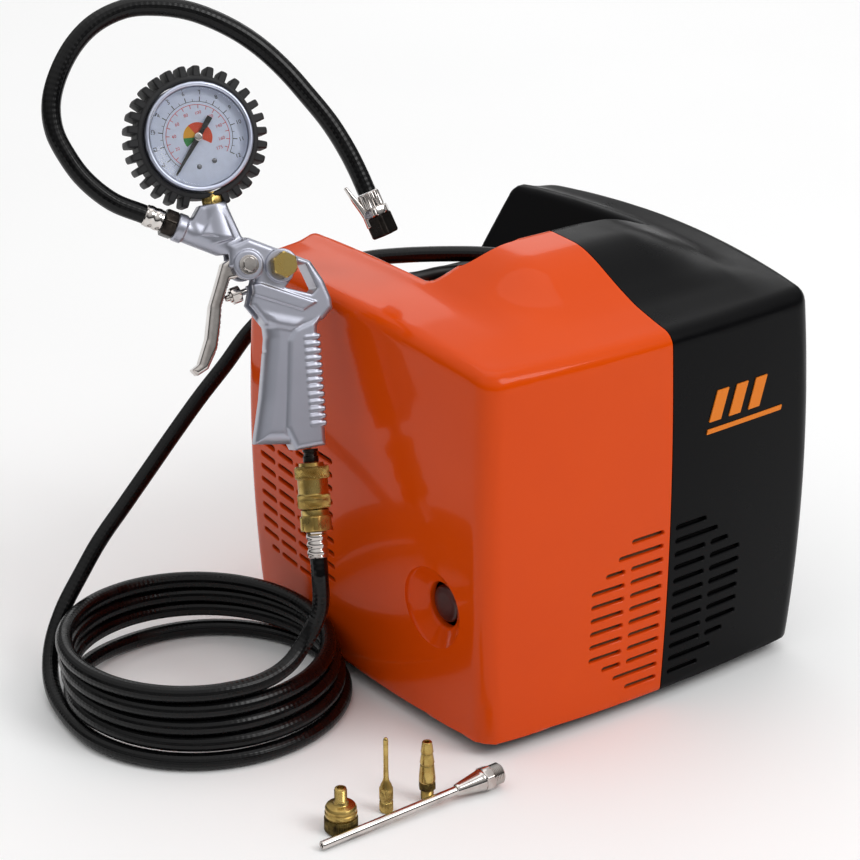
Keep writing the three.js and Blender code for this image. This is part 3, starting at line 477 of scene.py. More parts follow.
OUTLET_X = 58
OUTLET_Z = TROUGH_FLOOR_Z + 17.25
GLAND_X = 36
GLAND_Z = TROUGH_FLOOR_Z + 9
TROUGH_WALL_Y = TROUGH_FRONT_Y - (OUTLET_Z - TROUGH_FLOOR_Z) / TROUGH_FRONT_SLOPE
SWITCH_X = 70
SWITCH_Z = 150
SWITCH_FACE = CASE_DEPTH / 2 + FRONT_CROWN * (1 - (SWITCH_X / 130) ** 2) + BARREL

casing = new_piece("casing", body_points, body_quads, gloss_orange_abs)
hollow = new_piece("cutter", hollow_points, hollow_quads, None)
casing = shape(casing, hollow, "DIFFERENCE")
dish_profile = [(0, -6), (DISH_RADIUS + 1.2, -6), (DISH_RADIUS, 2.2),
                (BUTTON_HOLE + 1.5, DISH_DEPTH - 0.6), (BUTTON_HOLE, DISH_DEPTH + 0.8), (BUTTON_HOLE, 30),
                (0, 30)]
dish_mesh = turned_mesh(softened(dish_profile, 1.2), (1, 0, 0), (DISH_FACE, DISH_Y, DISH_Z), 72)
casing = shape(casing, outward(new_piece("cutter", *dish_mesh, None)), "DIFFERENCE")
casing = shape(casing, vent_cutters(), "DIFFERENCE")
for half in (-1, 1):
    angle = np.linspace(0, 2 * math.pi, 40, endpoint=False)
    leaf = [(24 * math.cos(a), 6 * math.sin(a)) for a in angle]
    rings = [[(SEAM_X + half * (48 + x), y - 13, z) for x, y in leaf] for z in (250, 320)]
    count = len(leaf)
    sides = [(i, (i + 1) % count, count + (i + 1) % count, count + i) for i in range(count)]
    ends = [list(reversed(range(count))), list(range(count, 2 * count))]
    opening = outward(new_piece("cutter", rings[0] + rings[1], sides + ends, None))
    casing = shape(casing, opening, "DIFFERENCE")
for x, z, hole, flange, at in ((OUTLET_X, OUTLET_Z, 8.3, 12.8, 1.8), (GLAND_X, GLAND_Z, 6.3, 8.8, 2.9)):
    profile = [(0, -40), (hole, -40), (hole, at), (flange, at), (flange, 40), (0, 40)]
    seat = outward(new_piece("cutter", *turned_mesh(profile, (0, 1, 0), (x, TROUGH_WALL_Y, z), 40), None))
    casing = shape(casing, seat, "DIFFERENCE")
casing = shape(casing, block((SWITCH_X - 11, 120, SWITCH_Z - 15), (SWITCH_X + 11, 160, SWITCH_Z + 15)),
               "DIFFERENCE")
shell_black = copy_of(casing, "casing_black_shell")
shape(casing, block((-200, -200, -50), (SEAM_X - SEAM_GAP / 2, 200, 400)), "INTERSECT")
shape(shell_black, block((SEAM_X + SEAM_GAP / 2, -200, -50), (200, 200, 400)), "INTERSECT")
casing.name = "casing_orange_shell"
shell_black.data.materials.clear()
shell_black.data.materials.append(satin_black_abs)
for shell, node, finish in ((casing, "shell_orange", "orange_shell"),
                            (shell_black, "shell_black", "black_shell")):
    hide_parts(node)
    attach(shell, "casing")

# ---------------------------------------------------------------- air hose
# Eleven millimetre PVC hose with a braid under its skin. It leaves the outlet in the trough, drops
# off the left rear corner, lies in a coil on the floor and rises to the coupler under the gun.
HOSE_RADIUS = 5.5
COIL_POINTS = 24
HOSE_TURNS = 4


def through(points, step):
    """Evenly spaced points, in mm, along a smooth curve through the given ones."""
    p = np.array(points, float)
    p = np.vstack([2 * p[0] - p[1], p, 2 * p[-1] - p[-2]])
    made = []
    for a, b, c, d in zip(p, p[1:], p[2:], p[3:]):
        t = np.cumsum([0] + [math.sqrt(np.linalg.norm(e)) for e in (b - a, c - b, d - c)])
        s = np.linspace(t[1], t[2], 24, endpoint=False)[:, None]
        ab = (t[1] - s) / (t[1] - t[0]) * a + (s - t[0]) / (t[1] - t[0]) * b
        bc = (t[2] - s) / (t[2] - t[1]) * b + (s - t[1]) / (t[2] - t[1]) * c
        cd = (t[3] - s) / (t[3] - t[2]) * c + (s - t[2]) / (t[3] - t[2]) * d
        abc = (t[2] - s) / (t[2] - t[0]) * ab + (s - t[0]) / (t[2] - t[0]) * bc
        bcd = (t[3] - s) / (t[3] - t[1]) * bc + (s - t[1]) / (t[3] - t[1]) * cd
        made.extend((t[2] - s) / (t[2] - t[1]) * abc + (s - t[1]) / (t[2] - t[1]) * bcd)
    made = np.array(made + [p[-2]])
    along = np.concatenate([[0], np.cumsum(np.linalg.norm(np.diff(made, axis=0), axis=1))])
    even = np.linspace(0, along[-1], max(2, round(along[-1] / step)) + 1)
    return np.stack([np.interp(even, along, made[:, k]) for k in range(3)], 1)


def tube(name, line, radius, finish, sides=24):
    """A round tube along close points. Its UV map runs in metres along it and once around it."""
    tangents = np.gradient(line, axis=0)
    tangents /= np.linalg.norm(tangents, axis=1)[:, None]
    angles = np.arange(sides) / sides * 2 * math.pi
    u = frame_along(tangents[0])[0]
    rings = []
    for centre, along in zip(line, tangents):
        u = u - along * np.dot(u, along)
        u /= np.linalg.norm(u)
        v = np.cross(along, u)
        rings.append(centre + radius * (np.outer(np.cos(angles), u) + np.outer(np.sin(angles), v)))
    last = (len(line) - 1) * sides
    faces = [(k * sides + i, k * sides + (i + 1) % sides, (k + 1) * sides + (i + 1) % sides,
              (k + 1) * sides + i)
             for k in range(len(line) - 1) for i in range(sides)]
    ends = [list(reversed(range(sides))), list(range(last, last + sides))]
    made = new_piece(name, np.concatenate(rings), faces + ends, finish, 60)
    length = np.concatenate([[0], np.cumsum(np.linalg.norm(np.diff(line, axis=0), axis=1))]) * MM
    k, i = np.divmod(np.arange((len(line) - 1) * sides), sides)
    along = np.stack([length[k], length[k], length[k + 1], length[k + 1]], 1)
    around = np.stack([i, i + 1, i + 1, i], 1) / sides
    uv = np.zeros((len(made.data.loops), 2))
    uv[:along.size] = np.stack([along.ravel(), around.ravel()], 1)
    made.data.uv_layers.new(name="along_and_around").data.foreach_set("uv", uv.ravel())
    return made


def coil_lift(turns):
    """Hose diameters that the coil has risen by then, in turns: each turn steps up on its far side, and
    the first one stays on the floor the longest."""
    first = ease((turns - 0.48) / 0.3)
    later = np.floor(turns) + ease((turns - np.floor(turns) - 0.1) / 0.7)
    return np.where(turns < 1, first, later)


def hose_coil():
    """The turns on the floor, from where the hose lands at the left to the top of the coil in front."""
    start = -0.26
    made = []
    for k in range(round((HOSE_TURNS - start) * COIL_POINTS)):
        s = start + k / COIL_POINTS
        share = s / HOSE_TURNS
        a = math.radians(270 + 360 * s)
        radius = 90 - 1.2 * ease(s / 0.6) - 3.6 * share + 4.5 * ease(-s / 0.3)
        x = -229 - 6 * share + radius * math.cos(a)
        y = 40 + 6 * share + radius * math.sin(a)
        made.append((x, y, 5.7 + 11 * float(coil_lift(s))))
    return made


def braided_hose(name, pitch, strands):
    """Glossy black PVC: the braid under the skin shows as fine crossing ridges, which break every
    highlight into specks, and handling leaves the gloss uneven."""
    made, tree, main = finish_of(name, Base_Color=linear("#050506"), Roughness=0.25, Specular_IOR_Level=0.25)
    uv = add(tree, "ShaderNodeUVMap", uv_map="along_and_around").outputs["UV"]
    parts = add(tree, "ShaderNodeSeparateXYZ", {"Vector": uv}).outputs
    along = add(tree, "ShaderNodeMath", {0: parts["X"], 1: 2 * math.pi / pitch},
                operation="MULTIPLY").outputs[0]
    around = add(tree, "ShaderNodeMath", {0: parts["Y"], 1: 2 * math.pi * strands},
                 operation="MULTIPLY").outputs[0]
    waves = []
    for way in ("ADD", "SUBTRACT"):
        phase = add(tree, "ShaderNodeMath", {0: along, 1: around}, operation=way).outputs[0]
        waves.append(add(tree, "ShaderNodeMath", {0: phase}, operation="SINE").outputs[0])
    braid = add(tree, "ShaderNodeMath", {0: waves[0], 1: waves[1]}, operation="MULTIPLY").outputs[0]
    where = add(tree, "ShaderNodeTexCoord").outputs["Object"]
    wear = add(tree, "ShaderNodeTexNoise", {"Vector": where, "Scale": 1 / 0.012, "Detail": 4.0})
    gloss = add(tree, "ShaderNodeMapRange", {"Value": wear.outputs["Fac"], "From Min": 0.3, "From Max": 0.7,
                                             "To Min": 0.17, "To Max": 0.36})
    tree.links.new(gloss.outputs["Result"], main.inputs["Roughness"])
    bump = add(tree, "ShaderNodeBump", {"Height": braid, "Strength": 0.4, "Distance": 0.00015})
    tree.links.new(bump.outputs["Normal"], main.inputs["Normal"])
    return made


hose_pvc = braided_hose("braided_black_PVC_hose", 0.007, 9)
hose_start = TROUGH_WALL_Y + 18 + 0.3 + 20 + 0.3
hose_route = [
    (58, hose_start, 235.25), (58, 64, 235.25), (53, 85, 235.8), (41, 103, 235.2), (20, 120, 235),
    (-4, 134, 235), (-28, 147, 233.4), (-54, 157, 228), (-84, 161, 214), (-114.5, 161, 195.3),
    (-136.7, 159, 176), (-159.3, 156, 158.7), (-181.8, 153, 139.5), (-204.2, 150, 119.6),
    (-227, 146, 100.4), (-249.6, 142, 81.4), (-266.7, 138, 63.9), (-285.6, 132, 44.3), (-299, 124, 27),
    (-309, 110, 14), (-317, 88, 7.5),
]
GUN_AT = np.array((-148.5, 9.1, 240.5))
gun_turn = Matrix.Rotation(math.radians(-17.09), 3, "Z") @ Matrix.Rotation(math.radians(90 - 22.67), 3, "X")
GUN_AXES = np.array(gun_turn)


def from_gun(points):
    """Points of the gun's own frame, in the object's frame. The gun's +X runs to the back of its
    grip, +Y up it and +Z to its left side."""
    return np.asarray(points, float) @ GUN_AXES.T + GUN_AT


COUPLER_AT = np.array((-21.2, -61.3, 0))
COUPLER_AXIS = np.array((-0.05, -0.9987, 0))
COUPLER_LENGTH = 52
FERRULE_LENGTH = 17
riser_end = COUPLER_LENGTH + FERRULE_LENGTH + 0.6
riser_route = [(-235, -38.6, 49.9), (-214, -36, 54), (-201, -32.5, 62), (-192.5, -33.3, 74.5),
               (-189, -36, 88),
               *from_gun([COUPLER_AT + COUPLER_AXIS * (riser_end + 12),
                          COUPLER_AT + COUPLER_AXIS * riser_end])]
hose_line = through(hose_route + hose_coil() + riser_route, 4)
air_hose = tube("air_hose", hose_line, HOSE_RADIUS, hose_pvc, 28)
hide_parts("hose_upper", "hose_coil", "hose_riser")
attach(air_hose, "casing")

# ---------------------------------------------------------------- mains lead
# A rubber lead of nearly two metres. It leaves its gland in the trough, drops behind the casing and
# lies there in a small coil, with a moulded two-pin plug beside it.
LEAD_RADIUS = 4
LEAD_PITCH = 8.75
LEAD_OUTER = 52.5
LEAD_INNER = LEAD_OUTER - 2 * LEAD_PITCH
LEAD_TURNS = 5
lead_start = TROUGH_WALL_Y + 30 + 0.3
lead_route = [
    (36, lead_start, 227), (36, lead_start + 14, 226), (43, 80, 223), (44, 98, 222.5), (36, 112, 222.4),
    (18, 119.5, 222.4), (-4, 121, 222.4), (-22, 128, 223), (-29, 139, 223.8), (-32, 150, 219.4),
    (-36, 160, 207), (-41, 166, 190), (-42, 168, 150), (-42, 169, 120), (-41, 170, 90), (-38, 171, 62),
    (-30, 173, 36), (-15, 170.5, 14), (5, 167.5, 5.5),
]
lead_coil = []
for k in range(LEAD_TURNS * COIL_POINTS):
    turns = (k + 1) / COIL_POINTS
    radius = LEAD_INNER + LEAD_PITCH * min(abs(turns - 2), 2)
    angle = math.radians(270 + 360 * turns)
    rise = sum(float(ease((turns - turn) / 0.2)) for turn in (2, 4))
    lead_coil.append((30 + radius * math.cos(angle), 218 + radius * math.sin(angle), 4.3 + 8.2 * rise))
lead_tail = [(46, 166.5, 20), (62, 169.5, 18.8), (78, 171, 17.6), (91.7, 171, 17.3)]
lead_line = through(lead_route + lead_coil + lead_tail, 3)


def plain_rubber(name, shade, roughness, grain):
    """Black rubber or soft PVC: dull, with a fine grain and paler scuffs where it has been handled."""
    made, tree, main = finish_of(name, Roughness=roughness, IOR=1.5)
    where = add(tree, "ShaderNodeTexCoord").outputs["Object"]
    scuff = add(tree, "ShaderNodeTexNoise", {"Vector": where, "Scale": 1 / 0.02, "Detail": 5.0})
    tone = add(tree, "ShaderNodeMapRange",
               {"Value": scuff.outputs["Fac"], "From Min": 0.45, "From Max": 0.75})
    paler = [c * 1.9 for c in linear(shade)[:3]] + [1.0]
    colour = add(tree, "ShaderNodeMix", {"Factor": tone.outputs["Result"], "A": linear(shade), "B": paler},
                 data_type="RGBA")
    tree.links.new(colour.outputs[2], main.inputs["Base Color"])
    pores = add(tree, "ShaderNodeTexNoise", {"Vector": where, "Scale": 1 / grain, "Detail": 2.0})
    bump = add(tree, "ShaderNodeBump", {"Height": pores.outputs["Fac"], "Strength": 0.4, "Distance": 0.0001})
    tree.links.new(bump.outputs["Normal"], main.inputs["Normal"])
    return made


lead_rubber = plain_rubber("matt_black_rubber", "#0B0B0C", 0.5, 0.0006)
mains_lead = tube("mains_lead", lead_line, LEAD_RADIUS, lead_rubber)
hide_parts("lead_drop", "lead_coil", "lead_tail")
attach(mains_lead, "casing")

# ---------------------------------------------------------------- short hose of the gun
# Under 0.4 m of braided hose, a little thicker than the long one. It springs from the gun's barrel
# over the gauge and hangs to the chuck.
WHIP_RADIUS = 6
BARREL_TIP = np.array((-89, 87.2, 0))
BARREL_AXIS = np.array((0.889, -0.458, 0))
CHUCK_AT = np.array((37.2, 95, 0))
CHUCK_AXIS = np.array((0.3, -0.954, 0))
whip_route = [
    BARREL_TIP - BARREL_AXIS * 20.9, (-126, 106.5, 0), (-141.5, 121.8, 0), (-150.8, 137.8, 0),
    (-156.3, 153.4, 0), (-156, 170.2, 0), (-149.3, 187.7, 0), (-136.9, 205.3, 0), (-122, 217.2, 0),
    (-101.9, 224.2, 0), (-81.5, 223.7, 0), (-61.4, 218.9, 0), (-40, 208.1, 0), (-22.7, 195.1, 0),
    (-7.1, 178.4, 0), (6.4, 159.8, 0), (18.6, 141.2, 0), (28.1, 121.6, 0), (33.8, 106, 0),
    CHUCK_AT - CHUCK_AXIS * 0.3,
]
whip_line = from_gun(through(whip_route, 3))
whip_pvc = braided_hose("braided_black_PVC_short_hose", 0.007, 9)
whip_hose = tube("short_hose", whip_line, WHIP_RADIUS, whip_pvc, 28)
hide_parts("whip_hose")
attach(whip_hose, "casing")

# ---------------------------------------------------------------- fittings in the trough
# A brass outlet with a hexagonal flange screwed through the trough's wall, a steel ferrule crimped
# on the hose, and a ribbed rubber strain relief moulded on the lead.


def turned_metal(name, shade, deep, roughness, tarnish):
    """Bare turned metal: fine lathe scratches, and a drift of tarnish that darkens and dulls it."""
    made, tree, main = finish_of(name, Metallic=1.0, Roughness=roughness)
    where = add(tree, "ShaderNodeTexCoord").outputs["Object"]
    film = add(tree, "ShaderNodeTexNoise",
               {"Vector": where, "Scale": 1 / tarnish, "Detail": 5.0, "Roughness": 0.6})
    amount = add(tree, "ShaderNodeMapRange",
                 {"Value": film.outputs["Fac"], "From Min": 0.35, "From Max": 0.68})
    colour = add(tree, "ShaderNodeMix",
                 {"Factor": amount.outputs["Result"], "A": linear(shade), "B": linear(deep)},
                 data_type="RGBA")
    tree.links.new(colour.outputs[2], main.inputs["Base Color"])
    dull = add(tree, "ShaderNodeMapRange", {"Value": amount.outputs["Result"], "To Min": roughness * 0.8,
                                            "To Max": roughness * 1.5})
    tree.links.new(dull.outputs["Result"], main.inputs["Roughness"])
    marks = add(tree, "ShaderNodeTexNoise", {"Vector": where, "Scale": 1 / 0.0007, "Detail": 2.0})
    bump = add(tree, "ShaderNodeBump",
               {"Height": marks.outputs["Fac"], "Strength": 0.15, "Distance": 0.00004})
    tree.links.new(bump.outputs["Normal"], main.inputs["Normal"])
    return made


brass = turned_metal("turned_brass", "#C8AE6A", "#9C7E42", 0.25, 0.012)
dark_brass = turned_metal("tarnished_brass", "#7C6A3C", "#3E3320", 0.36, 0.004)
chrome = turned_metal("chrome_plate", "#D9D4D0", "#B3ABA6", 0.08, 0.02)
steel = turned_metal("machined_steel", "#8D8E92", "#55565A", 0.32, 0.01)
dark_steel = turned_metal("blackened_steel", "#3C3733", "#1C1A19", 0.28, 0.006)


def corners(flat_radius, count=6, rounded=1.1):
    """A radius that makes a bar of flats, its corners turned down to a share of the flat's radius."""
    def radius(angle):
        part = 2 * math.pi / count
        return np.minimum(flat_radius / np.cos((angle + part / 2) % part - part / 2), flat_radius * rounded)
    return radius


def fluted(outer, depth, count):
    """A radius with straight grooves along the piece."""
    return lambda angle: outer - depth * (0.5 - 0.5 * np.cos(count * angle)) ** 2


def nut_profile(flat_radius, start, end, bore=0.0, rounded=1.12):
    """A hexagonal bar with chamfered ends."""
    bar = corners(flat_radius, 6, rounded)
    face = corners(flat_radius * 0.985, 6, 1.02)
    chamfer = 0.09 * flat_radius
    return [(bore, start), (face, start), (bar, start + chamfer), (bar, end - chamfer), (face, end),
            (bore, end)]


def crimped(outer, length, bulges, depth=0.7):
    """A ferrule's profile, with bulges between its crimped rings."""
    made = [(outer * 0.55, 0), (outer - 0.9, 0), (outer - 0.3, 0.6)]
    for k in range(1, 8 * bulges):
        d = 1 + (length - 2) * k / (8 * bulges)
        made.append((outer - depth * abs(math.cos(math.pi * bulges * k / (8 * bulges))) ** 3, d))
    return made + [(outer - 0.3, length - 0.6), (outer - 0.9, length), (outer * 0.55, length)]


def put(piece, nodes, body):
    """Hides the CAD nodes that a piece stands for and hangs the piece on the body it rides on."""
    for node in nodes:
        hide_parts(node)
    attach(piece, body)
    return piece


def joined(name, *pieces):
    """Several pieces with one finish as one object."""
    points, faces, start = [], [], 0
    for piece in pieces:
        points.extend([v.co / MM for v in piece.data.vertices])
        faces.extend([[start + i for i in p.vertices] for p in piece.data.polygons])
        start += len(piece.data.vertices)
    finish = pieces[0].data.materials[0]
    for piece in pieces:
        bpy.data.objects.remove(piece)
    return new_piece(name, points, faces, finish)


outlet_at = (OUTLET_X, TROUGH_WALL_Y, OUTLET_Z)
outlet = joined(
    "air_outlet",
    turned("part", [(0, -24), (7.9, -24), (7.9, 2), (0, 2)], (0, 1, 0), outlet_at, brass, 40),
    new_piece("part", *turned_mesh(nut_profile(11.2, 2.6, 10), (0, 1, 0), outlet_at, 96), brass),
    turned("part", [(0, 10), (7.8, 10), (7.8, 13), (7, 13.6), (7, 14.4), (7.8, 15), (7.8, 18), (0, 18)],
           (0, 1, 0), outlet_at, brass, 40),
)
put(outlet, ["outlet_fitting"], "casing")
outlet_ferrule = turned("outlet_ferrule", [(0, 0)] + crimped(7, 20, 3) + [(0, 20)], (0, 1, 0),
                        (OUTLET_X, TROUGH_WALL_Y + 18.3, OUTLET_Z), chrome, 48, 0)
put(outlet_ferrule, ["hose_ferrule_outlet"], "casing")
gland = [(0, -12), (5.9, -12), (5.9, 3.4), (8.4, 4), (8.4, 7)]
for rib in range(6):
    d = 8 + 3.6 * rib
    r = 6.3 - 0.24 * rib
    gland += [(r, d), (r, d + 2), (r - 0.8, d + 2.4), (r - 0.8, d + 3.2)]
strain_relief = turned("lead_strain_relief", gland + [(4.9, 30), (0, 30)], (0, 1, 0),
                       (GLAND_X, TROUGH_WALL_Y, GLAND_Z), lead_rubber, 40, 0.2)
put(strain_relief, ["mains_gland"], "casing")

# ---------------------------------------------------------------- mains plug
# A two-pin plug moulded in one with the lead: a tapered neck with grip ribs, a round head and two
# plated pins.
PLUG_AT = np.array((92, 171, 17.3))
neck = [(0, 0), (4.9, 0), (5.6, 3)]
for rib in range(4):
    neck += [(6.4 + 0.3 * rib, 4 + 3 * rib), (6.4 + 0.3 * rib, 5.6 + 3 * rib),
             (5.4 + 0.3 * rib, 6 + 3 * rib)]
plug_profile = neck + [(8, 16.5), (14.6, 22), (16.8, 29), (16.8, 41.8), (0, 41.8)]
plug_body = turned("plug_body", plug_profile, (1, 0, 0), PLUG_AT, lead_rubber, 64, 0.9)
put(plug_body, ["mains_plug"], "casing")
plug_pins = joined("plug_pins", *[
    turned("part", [(0, 41.6), (2.4, 41.6), (2.4, 58), (1.4, 60), (0, 60)], (1, 0, 0),
           PLUG_AT + (0, side * 9.5, 0),
           steel, 24) for side in (-1, 1)])
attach(plug_pins, "casing")

# ---------------------------------------------------------------- quick coupler and hose ferrule
# A hardened plug neck screwed in the grip, and a brass coupler with a sliding sleeve. The sleeve has
# two bands of diamond knurling, and the hose is crimped below the coupler's hexagon.
SLEEVE_START = 11
SLEEVE_LENGTH = 27
COUPLER_RADIUS = 11
coupler_direction = GUN_AXES @ COUPLER_AXIS


def coupled(distance):
    """A point on the coupler's axis, from the grip's end down."""
    return from_gun(COUPLER_AT + COUPLER_AXIS * distance)


def diamond(outer, depth, count, at, slope):
    """A radius with crossed spiral grooves, for a ring at one place along a knurled band."""
    def radius(angle):
        one = np.abs(np.sin(count * angle / 2 + slope * at))
        two = np.abs(np.sin(count * angle / 2 - slope * at))
        return outer - depth * (1 - np.minimum(1, 1.8 * np.minimum(one, two)))
    return radius


plug_neck = turned("coupler_plug_neck",
                   [(0, 0.3), (5, 0.3), (5, 2), (4.2, 2.5), (4.2, 4.5), (5, 5), (5, 8.7), (0, 8.7)],
                   coupler_direction, coupled(0), dark_steel, 40)
put(plug_neck, ["coupler_plug"], "casing")
sleeve = [(COUPLER_RADIUS - 2.8, 0), (COUPLER_RADIUS - 1, 0), (COUPLER_RADIUS - 0.5, 0.5)]
for start, end in ((0.8, 7.6), (18.4, 26.2)):
    if start > 1:
        waist = COUPLER_RADIUS - 1.3
        sleeve += [(COUPLER_RADIUS - 0.6, 8), (waist, 8.6), (waist, 17.4), (COUPLER_RADIUS - 0.7, 18)]
    for at in np.arange(start, end, 0.28):
        sleeve.append((diamond(COUPLER_RADIUS - (0.5 if start > 1 else 0), 0.75, 46, at, 1.95), at))
sleeve += [(COUPLER_RADIUS - 1, 26.6), (COUPLER_RADIUS - 1.6, SLEEVE_LENGTH)]
# The sleeve's end is bored wider, so that it slides over the collar of the body.
sleeve += [(COUPLER_RADIUS - 1.85, SLEEVE_LENGTH), (COUPLER_RADIUS - 1.85, SLEEVE_LENGTH - 4.7)]
sleeve += [(COUPLER_RADIUS - 2.8, SLEEVE_LENGTH - 4.7), sleeve[0]]
coupler_sleeve = outward(new_piece("coupler_sliding_sleeve", *turned_mesh(
    sleeve, coupler_direction, coupled(SLEEVE_START), 276), brass, 18))
put(coupler_sleeve, ["coupler_sleeve"], "sleeve")
collar = [(0, 9), (7.9, 9), (7.9, 38.5), (8.9, 38.8), (8.9, 42.6), (0, 42.6)]
coupler_body = joined(
    "coupler_body_and_hexagon",
    turned("part", collar, coupler_direction, coupled(0), brass, 64),
    new_piece("part", *turned_mesh(nut_profile(9.9, 42.6, COUPLER_LENGTH, rounded=1.1), coupler_direction,
                                   coupled(0),
                                   120), brass),
)
put(coupler_body, ["coupler_body"], "casing")
hose_ferrule = turned("hose_ferrule",
                      [(0, 0)] + crimped(6.9, FERRULE_LENGTH, 3, 0.9) + [(0, FERRULE_LENGTH)],
                      coupler_direction, coupled(COUPLER_LENGTH + 0.3), chrome, 48, 0)
put(hose_ferrule, ["hose_ferrule_gun"], "casing")

# ---------------------------------------------------------------- inflator gun body
# A pressure-cast zinc body in silver lacquer: barrel, gauge boss, trigger guard and a grip in two
# lobes, the rear one ribbed for the palm.
GUN_HALF = 12.5
PIVOT = (-48.4, 57.8)
CAP = (-27.3, 55.1)
NUT = (-53, 41)
STEM_AXIS = (-0.97, -0.24, 0)
GAUGE_AT = (-68.1, 140.6)
GAUGE_FOOT = (-63.5, 98.2)


def polygon(points):
    """The distance out of a flat outline, as a field of the gun's first two axes."""
    p = np.array(points, float)

    def field(x, y):
        nearest, inside = np.inf, -1.0
        for a, b in zip(p, np.roll(p, -1, axis=0)):
            e = b - a
            dx, dy = x - a[0], y - a[1]
            t = np.clip((dx * e[0] + dy * e[1]) / (e @ e), 0, 1)
            nearest = np.minimum(nearest, (dx - t * e[0]) ** 2 + (dy - t * e[1]) ** 2)
            crosses = (a[1] > y) != (b[1] > y)
            left = dx * e[1] < e[0] * dy if e[1] > 0 else dx * e[1] > e[0] * dy
            inside = np.where(crosses & left, -inside, inside)
        return -inside * np.sqrt(nearest)
    return field


def rod_field(at, axis, length, radius, end_radius=None):
    """The distance out of a round bar or cone in the gun's frame."""
    w = np.array(axis, float) / np.linalg.norm(axis)
    taper = ((end_radius or radius) - radius) / length

    def field(x, y, z):
        dx, dy, dz = x - at[0], y - at[1], z - at[2]
        d = dx * w[0] + dy * w[1] + dz * w[2]
        r = np.sqrt(np.maximum(dx * dx + dy * dy + dz * dz - d * d, 1e-9))
        return both(r - radius - taper * d, np.maximum(-d, d - length), 0.8)
    return field


head = polygon([(-58, 71), (-46, 75), (-30, 67), (-8, 56), (-1, 43), (2.6, 31), (2.6, 25), (-4, 18.5),
                (-22, 14),
                (-41.8, 20), (-50, 33), (-44, 50), (-60, 58)])
grip_front = polygon([(-50, 33), (-41.7, 22), (-41.8, 11), (-50, -27), (-57.5, -54), (-33, -57), (-20, 8),
                      (-14, 22)])
grip_rear = polygon([(-29.5, 8), (-24.8, 15.6), (-12, 19.5), (-3, 24), (-9, 15), (-9.8, 9), (-12.6, -52),
                     (-13.2, -60),
                     (-32.7, -61), (-38, -46)])
hole = polygon([(-16.5, 56.5), (-11.6, 54.5), (-6.2, 38.5), (-10, 35.2), (-26.5, 41.2), (-22, 46)])
strip = polygon([(-47, 45.4), (-42, 45.6), (-7.5, 29.8), (-17, 25.6), (-47, 38.6)])
wedge = polygon([(-80, 88.5), (-73, 98), (-56, 97.5), (-48, 73), (-58, 70.5), (-78, 79)])
blade = polygon([(-74.5, 80), (-67, 90), (-63, 97), (-59, 90), (-55.5, 76)])
barrel = rod_field((*BARREL_TIP[:2], 0), BARREL_AXIS, 48, 8)
tip_collar = rod_field((*BARREL_TIP[:2], 0), BARREL_AXIS, 6, 9.2)
gauge_boss = rod_field((-60.9, 74.3, 0), (GAUGE_FOOT[0] + 60.9, GAUGE_FOOT[1] - 74.3, 0), 24, 10.4, 8.4)
cap_boss = rod_field((*CAP, 0), (0, 0, 1), 13.3, 10.6)
lug = rod_field((*PIVOT, -12.9), (0, 0, 1), 25.8, 9.4)
RIB_COUNT = 13
RIB_TOP = 8.5
RIB_PITCH = 4.55


def gun_form(x, y, z):
    """The gun's body in its own frame."""
    w = np.abs(z)
    top = both(head(x, y), w - 11.2, 3.2)
    front = both(grip_front(x, y), w - 10.6, 8.5)
    rear = both(grip_rear(x, y), w - 12.2, 3.6)
    centre = -13.9 - 0.052 * (9 - y)
    ribs = 10.0
    for k in range(RIB_COUNT):
        level = RIB_TOP - RIB_PITCH * k
        along = np.maximum(np.abs(x - centre) - 4.2, 0)
        ribs = np.minimum(
            ribs, np.sqrt(along**2 + ((y - level) * 0.95) ** 2 + (np.maximum(w - 10.8, 0)) ** 2) - 1.75)
    body = either(either(top, front, 3), both(strip(x, y), w - 12.3, 1.0), 0.4)
    body = either(body, rear, 0.35)
    body = either(body, either(barrel(x, y, z), tip_collar(x, y, z), 1), 3)
    body = either(body, both(wedge(x, y), w - 7.6, 2.6), 2)
    body = either(body, both(blade(x, y), w - 9.6 + 0.12 * (y - 80), 0.7), 0.8)
    body = either(body, gauge_boss(x, y, z), 1.6)
    body = either(body, ribs, 0.5)
    body = either(either(body, cap_boss(x, y, z), 0.6), lug(x, y, z), 0.6)
    body = both(body, -hole(x, y), 1.1)
    slot_half = 7.0
    slot = np.maximum(np.maximum(w - slot_half, x + 43), np.maximum(y - 66, 2 - y))
    pivot_room = np.maximum(np.hypot(x - PIVOT[0], y - PIVOT[1]) - 8, w - slot_half)
    body = both(body, -np.minimum(slot, pivot_room), 0.5)
    pin = np.hypot(x - PIVOT[0], y - PIVOT[1]) - 3.1
    return both(body, -pin, 0.3)


gun_points, gun_quads = skin(gun_form, (-98, -64, -15), (6, 104, 15), 0.8)


